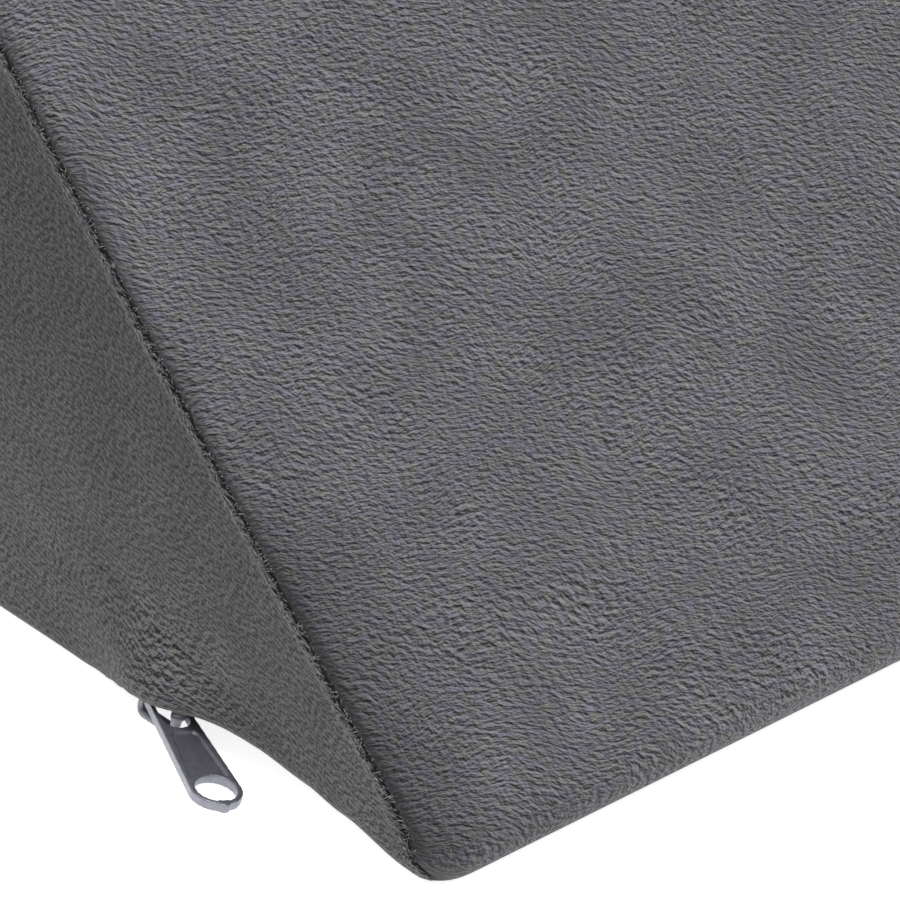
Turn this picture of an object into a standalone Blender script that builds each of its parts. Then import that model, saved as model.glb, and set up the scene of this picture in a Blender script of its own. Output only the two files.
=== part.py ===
"""Wedge leg pillow in a velour cover, with the zip that closes the cover.

The pillow lies on its flat underside, in metres, with +Z up. The toe, where the ramp
starts, faces -Y, the tall back faces +Y, and the width runs along X. The origin is the
middle of the underside. The zip runs in a groove under the lower edge of the -X side. Its
slider stands a little behind the toe, with its pull lying out on the surface.

Places on the pillow are given from the zip side's corner: "inward" runs along +X from
the plane of the zip side, and "back" runs along +Y from the line where ramp and
underside would meet if the toe were sharp.
"""

import math

import bmesh
import bpy
from mathutils import Matrix, Vector

MM = 0.001

# Overall sizes of the pillow, before the crown
LENGTH = 597 * MM
WIDTH = 450 * MM
HEIGHT = 197 * MM
CROWN = 3.0 * MM
CROWN_REACH = 90 * MM
CROWN_START_HEIGHT = 12 * MM

# Side view
RAMP_START_ANGLE = math.radians(45)
RAMP_END_ANGLE = math.radians(48)
RAMP_BEND_FROM = 66 * MM
RAMP_BEND_TO = 104 * MM
TOE_RADIUS = 4.5 * MM
CREST_RADIUS = 55 * MM
BACK_TOP_RADIUS = 14 * MM
BACK_FOOT_RADIUS = 6 * MM

# How the cover draws in to the seams round the two side panels
EDGE_ROUND = 3.2 * MM
TOE_CORNER_ROUND = 7.5 * MM
TOE_CORNER_REACH = 24 * MM
EDGE_STEPS = 4
SIDE_BULGE = 4.0 * MM
SIDE_RINGS = (0.04, 0.13, 0.32, 0.6, 0.86)
MIDDLE_STATIONS = (12 * MM, 28 * MM, 60 * MM, 110 * MM, 165 * MM)

# The zip side's lower edge, pulled up beside the slider: (back, lift)
EDGE_LIFT = (
    (6 * MM, 0.0),
    (14 * MM, 0.9 * MM),
    (28 * MM, 3.1 * MM),
    (36 * MM, 4.2 * MM),
    (47 * MM, 5.0 * MM),
    (60 * MM, 5.5 * MM),
    (68 * MM, 5.2 * MM),
    (72 * MM, 3.8 * MM),
    (76 * MM, 2.1 * MM),
    (80 * MM, 0.9 * MM),
    (86 * MM, 0.0),
)
EDGE_LIFT_INWARD = 11 * MM
EDGE_LIFT_UP = 22 * MM
FLOOR_STEP = 3.8 * MM

# The slider under the edge: its place, its two plates and the post between them
SLIDER_BACK = 66.9 * MM
SLIDER_INWARD = 1.9 * MM
SLIDER_LENGTH = 9.0 * MM
SLIDER_WIDTH = 5.6 * MM
SLIDER_BOTTOM = 5.1 * MM
SLIDER_PLATE = 0.75 * MM
SLIDER_MOUTH = 1.5 * MM
SLIDER_POST = 2.2 * MM
SLIDER_COVER_BULGE = 4.3 * MM
SLIDER_COVER_REACH = 10 * MM
SLIDER_POCKET_OUTWARD = 1.0 * MM

# The slider's bail, a strap bent into an arch under the lower plate
BAIL_STRAP_WIDTH = 1.9 * MM
BAIL_STRAP_THICKNESS = 1.1 * MM
BAIL_HALF_SPAN = 3.65 * MM
BAIL_CORNER = 1.0 * MM
BAIL_CROWN_HEIGHT = 0.85 * MM
BAIL_MIDDLE_HEIGHT = 2.4 * MM
BAIL_MIDDLE_INWARD = -0.2 * MM
BAIL_LEAN = 0.3

# The zip's tape and closed chain behind the slider
TAPE_WIDTH = 5.6 * MM
TAPE_THICKNESS = 0.8 * MM
CHAIN_WIDTH = 4.0 * MM
CHAIN_DEPTH = 0.9 * MM
CHAIN_INWARD = 6.6 * MM
CHAIN_SWERVE_REACH = 14 * MM
ZIP_END_MARGIN = 42 * MM
ZIP_STEP = 5 * MM
ZIP_STRAIGHT_STEP = 60 * MM
FIT_GAP = 0.35 * MM

# The pull: a cast blade with a raised rim, a bail hole and a finger hole
PULL_LENGTH = 28.0 * MM
PULL_TOP_WIDTH = 5.3 * MM
PULL_END_WIDTH = 7.9 * MM
PULL_THICKNESS = 1.5 * MM
PULL_RIM = 0.95 * MM
PULL_RECESS = 0.45 * MM
PULL_TURN = math.radians(20.2)
PULL_TOP_INWARD = 1.1 * MM
PULL_TOP_BACK = 68.9 * MM
PULL_TOP_LIFT = 1.75 * MM
PULL_ROLL = math.radians(12)
PULL_TOP_CORNER = 1.2 * MM
BAIL_HOLE_FROM = 1.5 * MM
BAIL_HOLE_TO = 9.0 * MM
BAIL_HOLE_WIDTH = 4.2 * MM
RECESS_FROM = 10.1 * MM
RECESS_FLARE = 0.35 * MM
RECESS_CORNER = 0.5 * MM
FINGER_HOLE_RADIUS = 3.15 * MM
NUB_RADIUS = 0.95 * MM
NUB_RISE = 0.15 * MM
NUB_TURN = 0.0
TIP_SWEEP = math.radians(88)

COVER_GREY = (0.125, 0.125, 0.135, 1.0)
TAPE_GREY = (0.09, 0.09, 0.1, 1.0)
PULL_GREY = (0.24, 0.25, 0.29, 1.0)


def clear_scene():
    """Remove the objects that a new file holds."""
    for item in list(bpy.data.objects):
        bpy.data.objects.remove(item, do_unlink=True)


def make_material(name, colour, roughness, metallic=0.0):
    """Return a Principled material."""
    material = bpy.data.materials.new(name)
    material.use_nodes = True
    shader = material.node_tree.nodes["Principled BSDF"]
    shader.inputs["Base Color"].default_value = colour
    shader.inputs["Roughness"].default_value = roughness
    shader.inputs["Metallic"].default_value = metallic
    return material


def add_object(name, bm, material=None):
    """Put a bmesh into the scene as a smooth-shaded object."""
    bmesh.ops.recalc_face_normals(bm, faces=bm.faces)
    mesh = bpy.data.meshes.new(name)
    bm.to_mesh(mesh)
    bm.free()
    mesh.shade_smooth()
    mesh.set_sharp_from_angle(angle=math.radians(35))
    item = bpy.data.objects.new(name, mesh)
    bpy.context.scene.collection.objects.link(item)
    if material:
        mesh.materials.append(material)
    return item


def combine(item, tool, operation):
    """Cut the tool's shape out of the item, or join it on, with an exact Boolean."""
    tool.hide_render = True
    tool.display_type = "WIRE"
    boolean = item.modifiers.new(operation.lower() + " " + tool.name, "BOOLEAN")
    boolean.operation = operation
    boolean.object = tool
    boolean.solver = "EXACT"


def place(inward, back, height=0.0):
    """Return the world place of a point given from the zip side's corner."""
    return Vector((inward - WIDTH / 2, back - LENGTH / 2, height))


def smooth_step(value):
    """Return a smooth rise from 0 to 1 as the value goes from 0 to 1."""
    value = min(max(value, 0.0), 1.0)
    return value * value * (3 - 2 * value)


def hump(distance, reach):
    """Return a bell curve, 1 at no distance."""
    return math.exp(-((distance / reach) ** 2))


def spread(start, end, count):
    """Return evenly spaced points between two points, without the ends."""
    return [start.lerp(end, step / (count + 1)) for step in range(1, count + 1)]


def fillet(before, corner, after, radius, steps):
    """Return the points of the arc that rounds a corner between its two neighbours."""
    to_before = (before - corner).normalized()
    to_after = (after - corner).normalized()
    half = to_before.angle(to_after) / 2
    start = corner + to_before * (radius / math.tan(half))
    end = corner + to_after * (radius / math.tan(half))
    centre = corner + (to_before + to_after).normalized() * (radius / math.sin(half))
    start_angle = math.atan2(start.y - centre.y, start.x - centre.x)
    turn = math.atan2(end.y - centre.y, end.x - centre.x) - start_angle
    turn = (turn + math.pi) % (2 * math.pi) - math.pi
    angles = [start_angle + turn * step / steps for step in range(steps + 1)]
    return [centre + radius * Vector((math.cos(a), math.sin(a))) for a in angles]


def side_outline():
    """Return the side view as points (back, height): underside, back, top, ramp, toe."""
    toe = Vector((0.0, 0.0))
    bend_from = Vector((RAMP_BEND_FROM, RAMP_BEND_FROM * math.tan(RAMP_START_ANGLE)))
    bend_angle = (RAMP_START_ANGLE + RAMP_END_ANGLE) / 2
    bend_run = RAMP_BEND_TO - RAMP_BEND_FROM
    bend_to = bend_from + Vector((bend_run, bend_run * math.tan(bend_angle)))
    crest_rise = HEIGHT - bend_to.y
    crest = bend_to + Vector((crest_rise / math.tan(RAMP_END_ANGLE), crest_rise))
    back_top = Vector((LENGTH, HEIGHT))
    back_foot = Vector((LENGTH, 0.0))

    foot_arc = fillet(toe, back_foot, back_top, BACK_FOOT_RADIUS, 3)
    top_arc = fillet(back_foot, back_top, crest, BACK_TOP_RADIUS, 4)
    crest_arc = fillet(back_top, crest, bend_to, CREST_RADIUS, 6)
    toe_arc = fillet(bend_from, toe, back_foot, TOE_RADIUS, 6)

    floor_end = Vector((EDGE_LIFT[-1][0], 0.0))
    floor_count = round((floor_end.x - toe_arc[-1].x) / FLOOR_STEP) - 1
    outline = spread(toe_arc[-1], floor_end, floor_count) + [floor_end]
    outline += spread(floor_end, foot_arc[0], 6)
    outline += foot_arc + spread(foot_arc[-1], top_arc[0], 4)
    outline += top_arc + spread(top_arc[-1], crest_arc[0], 5)
    outline += crest_arc + spread(crest_arc[-1], bend_to, 3)
    outline += [bend_to] + spread(bend_to, bend_from, 2)
    outline += [bend_from] + spread(bend_from, toe_arc[0], 4)
    outline += toe_arc
    return outline


def outline_normals(outline):
    """Return each outline point's outward direction."""
    normals = []
    for index in range(len(outline)):
        along = outline[(index + 1) % len(outline)] - outline[index - 1]
        normals.append(Vector((along.y, -along.x)).normalized())
    return normals


def edge_lift(back):
    """Return how far the zip side's lower edge is pulled up at a place along it."""
    for (from_back, from_lift), (to_back, to_lift) in zip(EDGE_LIFT, EDGE_LIFT[1:]):
        if from_back <= back <= to_back:
            share = smooth_step((back - from_back) / (to_back - from_back))
            return from_lift + (to_lift - from_lift) * share
    return 0.0


def drawn_in(inward, radius):
    """Return how far a quarter-round edge is drawn in at a distance from its side."""
    if inward >= radius:
        return 0.0
    share = 1 - inward / radius
    return radius * (1 - math.sqrt(1 - share * share))


def section(outline, normals, inward, zip_side):
    """Return one section across the pillow as points (outward shift, back, height)."""
    edge = drawn_in(inward, EDGE_ROUND)
    corner = drawn_in(inward, TOE_CORNER_ROUND) - edge
    crown = CROWN * smooth_step(inward / CROWN_REACH)
    points = []
    for point, normal in zip(outline, normals):
        swell = crown * smooth_step(point.y / CROWN_START_HEIGHT) - edge
        back = point.x + normal.x * swell
        height = point.y + normal.y * swell
        back += corner * (1 - smooth_step(point.length / TOE_CORNER_REACH))
        shift = 0.0
        if zip_side:
            near = 1 - smooth_step(inward / EDGE_LIFT_INWARD)
            low = 1 - smooth_step(height / EDGE_LIFT_UP)
            height += edge_lift(back) * near * low
            shift = cover_bulge(back, height) * near
        points.append((shift, back, height))
    return points


def cover_bulge(back, height):
    """Return how far the slider pushes the zip side's cover out."""
    along = hump(back - SLIDER_BACK, SLIDER_COVER_REACH)
    up = hump(height - SLIDER_BOTTOM, SLIDER_COVER_REACH)
    return SLIDER_COVER_BULGE * along * up


def side_stations():
    """Return the sections' distances from their side, closer where the edge rounds."""
    quarter = [math.pi / 2 * step / EDGE_STEPS for step in range(EDGE_STEPS + 1)]
    stations = [EDGE_ROUND * (1 - math.cos(angle)) for angle in quarter]
    stations.append((EDGE_ROUND + TOE_CORNER_ROUND) / 2)
    stations.append(TOE_CORNER_ROUND)
    stations.extend(MIDDLE_STATIONS)
    return stations


def loft_pillow(material):
    """Build the filled cover: sections across it, and a bulged panel on each side."""
    outline = side_outline()
    normals = outline_normals(outline)
    bm = bmesh.new()
    rings = []
    for side in (-1, 1):
        zip_side = side < 0
        half = []
        for inward in side_stations():
            ring = []
            for shift, back, height in section(outline, normals, inward, zip_side):
                across = side * (WIDTH / 2 - inward + shift)
                ring.append(bm.verts.new((across, back - LENGTH / 2, height)))
            half.append(ring)
        close_side(bm, half[0], side, zip_side)
        rings.append(half)
    middle = []
    for _shift, back, height in section(outline, normals, WIDTH / 2, False):
        middle.append(bm.verts.new((0.0, back - LENGTH / 2, height)))
    row = rings[0] + [middle] + rings[1][::-1]
    for ring, following in zip(row, row[1:]):
        bridge(bm, ring, following)
    return add_object("pillow", bm, material)


def bridge(bm, ring, following):
    """Join two rings of as many points with quads."""
    count = len(ring)
    for index in range(count):
        after = (index + 1) % count
        bm.faces.new((ring[index], ring[after], following[after], following[index]))


def close_side(bm, ring, side, zip_side):
    """Close one side with smaller rings that bulge outwards, and a point in the middle."""
    middle = Vector((side * WIDTH / 2, -LENGTH / 2 + LENGTH * 0.57, HEIGHT * 0.46))
    outer = ring
    for share in SIDE_RINGS:
        bulge = SIDE_BULGE * smooth_step(share * 1.5)
        inner = []
        for vert in ring:
            spot = Vector((side * WIDTH / 2, vert.co.y, vert.co.z)).lerp(middle, share)
            local = cover_bulge(spot.y + LENGTH / 2, spot.z) if zip_side else 0.0
            spot.x += side * (bulge + local)
            inner.append(bm.verts.new(spot))
        bridge(bm, outer, inner)
        outer = inner
    tip = bm.verts.new(middle + Vector((side * SIDE_BULGE, 0.0, 0.0)))
    for index, vert in enumerate(outer):
        bm.faces.new((vert, outer[(index + 1) % len(outer)], tip))


def add_box(bm, low, high):
    """Add a box between two corners to a bmesh."""
    low, high = Vector(low), Vector(high)
    made = bmesh.ops.create_cube(bm, size=1.0)
    bmesh.ops.scale(bm, vec=high - low, verts=made["verts"])
    bmesh.ops.translate(bm, vec=(low + high) / 2, verts=made["verts"])
    return made["verts"]


def chain_inward(back):
    """Return how far inward the zip's middle runs at a place along the edge."""
    swerve = hump(back - SLIDER_BACK, CHAIN_SWERVE_REACH)
    return CHAIN_INWARD + (SLIDER_INWARD - CHAIN_INWARD) * swerve


def zip_places(start, end):
    """Return places along the zip, close together where it swerves to the slider."""
    swerve_end = SLIDER_BACK + 2.2 * CHAIN_SWERVE_REACH
    places = [start]
    while places[-1] + ZIP_STEP < swerve_end:
        places.append(places[-1] + ZIP_STEP)
    while places[-1] + ZIP_STRAIGHT_STEP < end:
        places.append(places[-1] + ZIP_STRAIGHT_STEP)
    return places + [end]


def sweep_section(name, profile, start, end, material=None):
    """Sweep a closed profile of (inward, height) points along the zip."""
    bm = bmesh.new()
    rings = []
    for back in zip_places(start, end):
        middle = chain_inward(back)
        spots = [place(middle + inward, back, height) for inward, height in profile]
        rings.append([bm.verts.new(spot) for spot in spots])
    for ring, following in zip(rings, rings[1:]):
        bridge(bm, ring, following)
    bm.faces.new(rings[0])
    bm.faces.new(rings[-1][::-1])
    return add_object(name, bm, material)


def tape_bottom():
    """Return the height of the tape's lower face, in the middle of the slider's mouth."""
    return SLIDER_BOTTOM + SLIDER_PLATE + (SLIDER_MOUTH - TAPE_THICKNESS) / 2


def zip_start():
    """Return where the tape starts, just behind the slider's post."""
    return SLIDER_BACK - SLIDER_LENGTH / 2 + SLIDER_POST + FIT_GAP


def build_chain(material):
    """Build the tape, with the closed chain as a rib under it behind the slider."""
    low = tape_bottom()
    high = low + TAPE_THICKNESS
    half = TAPE_WIDTH / 2
    tape = ((-half, low), (half, low), (half, high), (-half, high))
    end = LENGTH - ZIP_END_MARGIN
    strip = sweep_section("zip_chain", tape, zip_start(), end, material)
    rib_half = CHAIN_WIDTH / 2
    below = low - CHAIN_DEPTH
    above = low + TAPE_THICKNESS / 2
    bevel = CHAIN_DEPTH / 2
    rib = (
        (-rib_half + bevel, below),
        (rib_half - bevel, below),
        (rib_half, below + bevel),
        (rib_half, above),
        (-rib_half, above),
        (-rib_half, below + bevel),
    )
    rib_start = SLIDER_BACK + SLIDER_LENGTH / 2 + FIT_GAP
    ridge = sweep_section("chain_rib", rib, rib_start, end - 2 * MM)
    combine(strip, ridge, "UNION")
    return strip


def cut_zip_groove(pillow):
    """Cut the groove that the zip runs in, and the pocket round the slider."""
    half = TAPE_WIDTH / 2 + FIT_GAP
    ceiling = tape_bottom() + TAPE_THICKNESS + FIT_GAP
    below = -2 * MM
    shape = ((-half, below), (half, below), (half, ceiling), (-half, ceiling))
    end = LENGTH - ZIP_END_MARGIN + FIT_GAP
    groove = sweep_section("groove", shape, SLIDER_BACK, end)
    combine(pillow, groove, "DIFFERENCE")

    half_width = SLIDER_WIDTH / 2 + FIT_GAP
    half_length = SLIDER_LENGTH / 2 + FIT_GAP
    top = SLIDER_BOTTOM + 2 * SLIDER_PLATE + SLIDER_MOUTH + FIT_GAP
    bm = bmesh.new()
    outer = SLIDER_INWARD - half_width - SLIDER_POCKET_OUTWARD
    low = place(outer, SLIDER_BACK - half_length, below)
    high = place(SLIDER_INWARD + half_width, SLIDER_BACK + half_length, top)
    add_box(bm, low, high)
    combine(pillow, add_object("slider_pocket", bm), "DIFFERENCE")


def build_slider(material):
    """Build the slider: two plates joined by a post, with the bail under them."""
    front = SLIDER_BACK - SLIDER_LENGTH / 2
    rear = SLIDER_BACK + SLIDER_LENGTH / 2
    mouth_low = SLIDER_BOTTOM + SLIDER_PLATE
    mouth_high = mouth_low + SLIDER_MOUTH
    top = mouth_high + SLIDER_PLATE
    profile = (
        (front, SLIDER_BOTTOM),
        (rear, SLIDER_BOTTOM),
        (rear, mouth_low),
        (front + SLIDER_POST, mouth_low),
        (front + SLIDER_POST, mouth_high),
        (rear, mouth_high),
        (rear, top),
        (front, top),
    )
    bm = bmesh.new()
    rings = []
    for side in (-1, 1):
        inward = SLIDER_INWARD + side * SLIDER_WIDTH / 2
        rings.append([bm.verts.new(place(inward, back, up)) for back, up in profile])
    bridge(bm, rings[0], rings[1])
    bm.faces.new(rings[0])
    bm.faces.new(rings[1][::-1])
    slider = add_object("zip_slider", bm, material)
    combine(slider, build_bail(), "UNION")
    return slider


def build_bail():
    """Build the bail as a strap swept along an arch that leans outward."""
    foot = SLIDER_BOTTOM + SLIDER_PLATE / 2
    span = BAIL_HALF_SPAN
    inner = span - BAIL_CORNER
    elbow = BAIL_CROWN_HEIGHT + BAIL_CORNER
    path = [(span, foot, 0.0), (span, elbow, 0.0)]
    for turn in (30, 60, 90):
        angle = math.radians(turn)
        along = inner + BAIL_CORNER * math.cos(angle)
        path.append((along, elbow - BAIL_CORNER * math.sin(angle), angle))
    path += [(-along, height, math.pi - angle) for along, height, angle in path[::-1]]

    bm = bmesh.new()
    rings = []
    half_width = BAIL_STRAP_WIDTH / 2
    half_thick = BAIL_STRAP_THICKNESS / 2
    for along, height, angle in path:
        ring = []
        for across, out in strap_corners(half_width, half_thick):
            back = SLIDER_BACK + along + out * math.cos(angle)
            up = height - out * math.sin(angle)
            lean = (up - BAIL_MIDDLE_HEIGHT) * BAIL_LEAN
            ring.append(bm.verts.new(place(BAIL_MIDDLE_INWARD + lean + across, back, up)))
        rings.append(ring)
    for ring, following in zip(rings, rings[1:]):
        bridge(bm, ring, following)
    bm.faces.new(rings[0])
    bm.faces.new(rings[-1][::-1])
    return add_object("bail", bm)


def strap_corners(half_width, half_thick):
    """Return the bevelled corners of a strap's cross-section."""
    bevel = half_thick * 0.55
    corners = []
    for across, out in ((-1, -1), (1, -1), (1, 1), (-1, 1)):
        long_cut = (across * (half_width - bevel), out * half_thick)
        short_cut = (across * half_width, out * (half_thick - bevel))
        pair = (long_cut, short_cut) if across * out < 0 else (short_cut, long_cut)
        corners.extend(pair)
    return corners


def arc(centre, radius, start, end, steps):
    """Return points of an arc in the pull's plane, as (across, along)."""
    points = []
    for step in range(steps + 1):
        angle = start + (end - start) * step / steps
        across = centre[0] + radius * math.sin(angle)
        points.append((across, centre[1] + radius * math.cos(angle)))
    return points


def pull_outline():
    """Return the pull's outline as (across, along from its top), with a round tip."""
    end_radius = PULL_END_WIDTH / 2
    points = arc((0.0, PULL_LENGTH - end_radius), end_radius, -TIP_SWEEP, TIP_SWEEP, 14)
    corner = PULL_TOP_CORNER
    across = PULL_TOP_WIDTH / 2 - corner
    points += arc((across, corner), corner, TIP_SWEEP, math.pi, 4)
    points += arc((-across, corner), corner, math.pi, 2 * math.pi - TIP_SWEEP, 4)
    return points


def prism(name, outline, low, high, material=None):
    """Build a prism of an outline in the pull's plane between two heights, and lay it down."""
    bm = bmesh.new()
    rings = []
    for height in (low, high):
        rings.append([bm.verts.new((across, -along, height)) for across, along in outline])
    bridge(bm, rings[0], rings[1])
    bm.faces.new(rings[0])
    bm.faces.new(rings[1][::-1])
    bmesh.ops.transform(bm, matrix=pull_matrix(), verts=bm.verts)
    return add_object(name, bm, material)


def pull_matrix():
    """Return the matrix that lays the pull on its right rim, its top raised to the bail."""
    slope = math.asin(PULL_TOP_LIFT / PULL_LENGTH)
    height = PULL_TOP_LIFT + PULL_END_WIDTH / 2 * math.sin(PULL_ROLL)
    turned = Matrix.Rotation(-PULL_TURN, 4, "Z") @ Matrix.Rotation(slope, 4, "X")
    raised = Matrix.Translation(place(PULL_TOP_INWARD, PULL_TOP_BACK, height))
    return raised @ turned @ Matrix.Rotation(PULL_ROLL, 4, "Y")


def stadium(start, end, width, steps):
    """Return a slot's outline with round ends, between two places along the pull."""
    radius = width / 2
    points = arc((0.0, end - radius), radius, math.radians(-90), math.radians(90), steps)
    points += arc((0.0, start + radius), radius, math.radians(90), math.radians(270), steps)
    return points


def recess_outline():
    """Return the sunk panel between the two holes, ending in a hollow round the finger hole."""
    top_half = PULL_TOP_WIDTH / 2 - PULL_RIM + RECESS_FLARE
    end_half = PULL_END_WIDTH / 2 - PULL_RIM
    hole_centre = PULL_LENGTH - PULL_END_WIDTH / 2
    hollow = FINGER_HOLE_RADIUS + 0.75 * PULL_RIM
    reach = math.asin(min(1.0, end_half / hollow))
    points = arc((0.0, hole_centre), hollow, math.pi + reach, math.pi - reach, 8)
    cut = RECESS_CORNER
    points += [(top_half, RECESS_FROM + cut), (top_half - cut, RECESS_FROM)]
    points += [(cut - top_half, RECESS_FROM), (-top_half, RECESS_FROM + cut)]
    return points


def build_pull(material):
    """Build the pull: a blade with its rim, two holes, a sunk panel and a casting nub."""
    pull = prism("zip_pull", pull_outline(), 0.0, PULL_THICKNESS, material)
    above = PULL_THICKNESS + MM
    hole_centre = PULL_LENGTH - PULL_END_WIDTH / 2

    nub_reach = PULL_END_WIDTH / 2 - PULL_RIM / 3
    nub_across = math.sin(NUB_TURN) * nub_reach
    nub_along = hole_centre + math.cos(NUB_TURN) * nub_reach
    nub_ring = arc((nub_across, nub_along), NUB_RADIUS, 0.0, math.radians(330), 11)
    nub = prism("nub", nub_ring, NUB_RISE, PULL_THICKNESS + NUB_RISE)
    combine(pull, nub, "UNION")

    bail_hole = stadium(BAIL_HOLE_FROM, BAIL_HOLE_TO, BAIL_HOLE_WIDTH, 6)
    finger_hole = arc((0.0, hole_centre), FINGER_HOLE_RADIUS, 0.0, math.radians(342), 19)
    combine(pull, prism("bail_hole", bail_hole, -1 * MM, above), "DIFFERENCE")
    combine(pull, prism("finger_hole", finger_hole, -1 * MM, above), "DIFFERENCE")
    sunk = PULL_THICKNESS - PULL_RECESS
    combine(pull, prism("recess", recess_outline(), sunk, above), "DIFFERENCE")
    return pull


def main():
    """Build the pillow and its zip."""
    clear_scene()
    cover = make_material("grey velour", COVER_GREY, 0.95)
    tape = make_material("zip tape", TAPE_GREY, 0.85)
    metal = make_material("painted zip metal", PULL_GREY, 0.38, 0.3)
    pillow = loft_pillow(cover)
    cut_zip_groove(pillow)
    build_chain(tape)
    build_slider(metal)
    build_pull(metal)


main()
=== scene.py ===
"""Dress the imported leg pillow: its velour cover with sewn seams, its zip, and the studio.

Places on the pillow are given from the zip side's corner: "inward" runs along +X from the
plane of the zip side, and "back" runs along +Y from the line where the ramp and the
underside would meet if the toe were sharp. The zip runs under the lower edge of the -X side.
"""

import logging
import math
from dataclasses import dataclass
from enum import Enum

import bpy
import numpy as np
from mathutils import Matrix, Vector
from mathutils.kdtree import KDTree


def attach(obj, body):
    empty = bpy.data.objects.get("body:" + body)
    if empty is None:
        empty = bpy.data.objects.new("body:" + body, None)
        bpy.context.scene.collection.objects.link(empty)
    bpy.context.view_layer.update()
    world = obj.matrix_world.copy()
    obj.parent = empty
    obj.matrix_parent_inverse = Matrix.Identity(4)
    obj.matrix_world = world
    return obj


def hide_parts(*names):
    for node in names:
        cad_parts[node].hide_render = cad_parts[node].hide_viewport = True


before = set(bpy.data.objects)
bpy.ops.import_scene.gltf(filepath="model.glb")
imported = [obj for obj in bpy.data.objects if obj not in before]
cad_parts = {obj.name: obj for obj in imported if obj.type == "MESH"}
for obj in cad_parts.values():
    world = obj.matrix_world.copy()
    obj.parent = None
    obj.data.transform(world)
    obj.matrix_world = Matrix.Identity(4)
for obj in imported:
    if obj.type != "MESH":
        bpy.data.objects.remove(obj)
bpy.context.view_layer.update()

MM = 0.001
TO_MM = (1000.0, 1000.0, 1000.0)
# Two places count as one below EXACT, a length counts as none below TINY, and OFF_AXIS
# keeps a direction from lying along another.
EXACT = 1e-9
TINY = 1e-12
OFF_AXIS = 1e-6
BODY = "root"
SEED = 41
LOG = logging.getLogger("leg pillow")


class Panel(Enum):
    """The pieces of cloth that the cover is sewn from."""

    WRAP = 0
    SIDE = 1


class Side(Enum):
    """The two sides of the pillow, by the sign of their X."""

    ZIP = -1
    PLAIN = 1


def smooth_step(value: np.ndarray | float) -> np.ndarray | float:
    """Return a smooth rise from 0 to 1 as the value goes from 0 to 1."""
    value = np.clip(value, 0.0, 1.0)
    return value * value * (3 - 2 * value)


def hump(distance: np.ndarray | float, reach: float) -> np.ndarray | float:
    """Return a bell curve, 1 at no distance.

    Args:
        distance: How far from the middle.
        reach: The distance at which the curve has dropped to 0.37.

    Returns:
        The height of the curve.
    """
    return np.exp(-((distance / reach) ** 2))


def waver(angle: np.ndarray) -> np.ndarray:
    """Return a wave between 0 and 1, from its angle in radians."""
    return 0.5 + 0.5 * np.sin(angle)


def point_tree(points: np.ndarray) -> KDTree:
    """Put points into a search tree, numbered by their rows.

    Args:
        points: One row of three coordinates for each point.

    Returns:
        The tree, ready to be searched.
    """
    tree = KDTree(len(points))
    for number, point in enumerate(points):
        tree.insert(point, number)
    tree.balance()
    return tree


def deselect_all() -> None:
    """Leave object mode with nothing selected."""
    if bpy.context.object and bpy.context.object.mode != "OBJECT":
        bpy.ops.object.mode_set(mode="OBJECT")
    bpy.ops.object.select_all(action="DESELECT")


def make_active(item: bpy.types.Object) -> None:
    """Select one object alone and make it the active one.

    Args:
        item: The object.
    """
    deselect_all()
    item.select_set(True)
    bpy.context.view_layer.objects.active = item


def apply_modifiers(item: bpy.types.Object) -> None:
    """Apply every modifier of an object, from the first to the last.

    Args:
        item: The object.
    """
    make_active(item)
    for name in [modifier.name for modifier in item.modifiers]:
        bpy.ops.object.modifier_apply(modifier=name)


def face_outward(item: bpy.types.Object) -> None:
    """Turn all faces of a closed mesh outward, and leave the object selected.

    Args:
        item: The object.
    """
    make_active(item)
    bpy.ops.object.mode_set(mode="EDIT")
    bpy.ops.mesh.select_all(action="SELECT")
    bpy.ops.mesh.normals_make_consistent(inside=False)
    bpy.ops.object.mode_set(mode="OBJECT")


def mesh_object(name: str, points: np.ndarray, faces: list) -> bpy.types.Object:
    """Put points and faces into the scene as a mesh object at the origin.

    Args:
        name: The object's name.
        points: One row of three coordinates for each vertex.
        faces: Tuples of vertex numbers.

    Returns:
        The new object.
    """
    mesh = bpy.data.meshes.new(name)
    mesh.from_pydata(points.tolist(), [], faces)
    mesh.validate()
    item = bpy.data.objects.new(name, mesh)
    bpy.context.scene.collection.objects.link(item)
    return item


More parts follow.
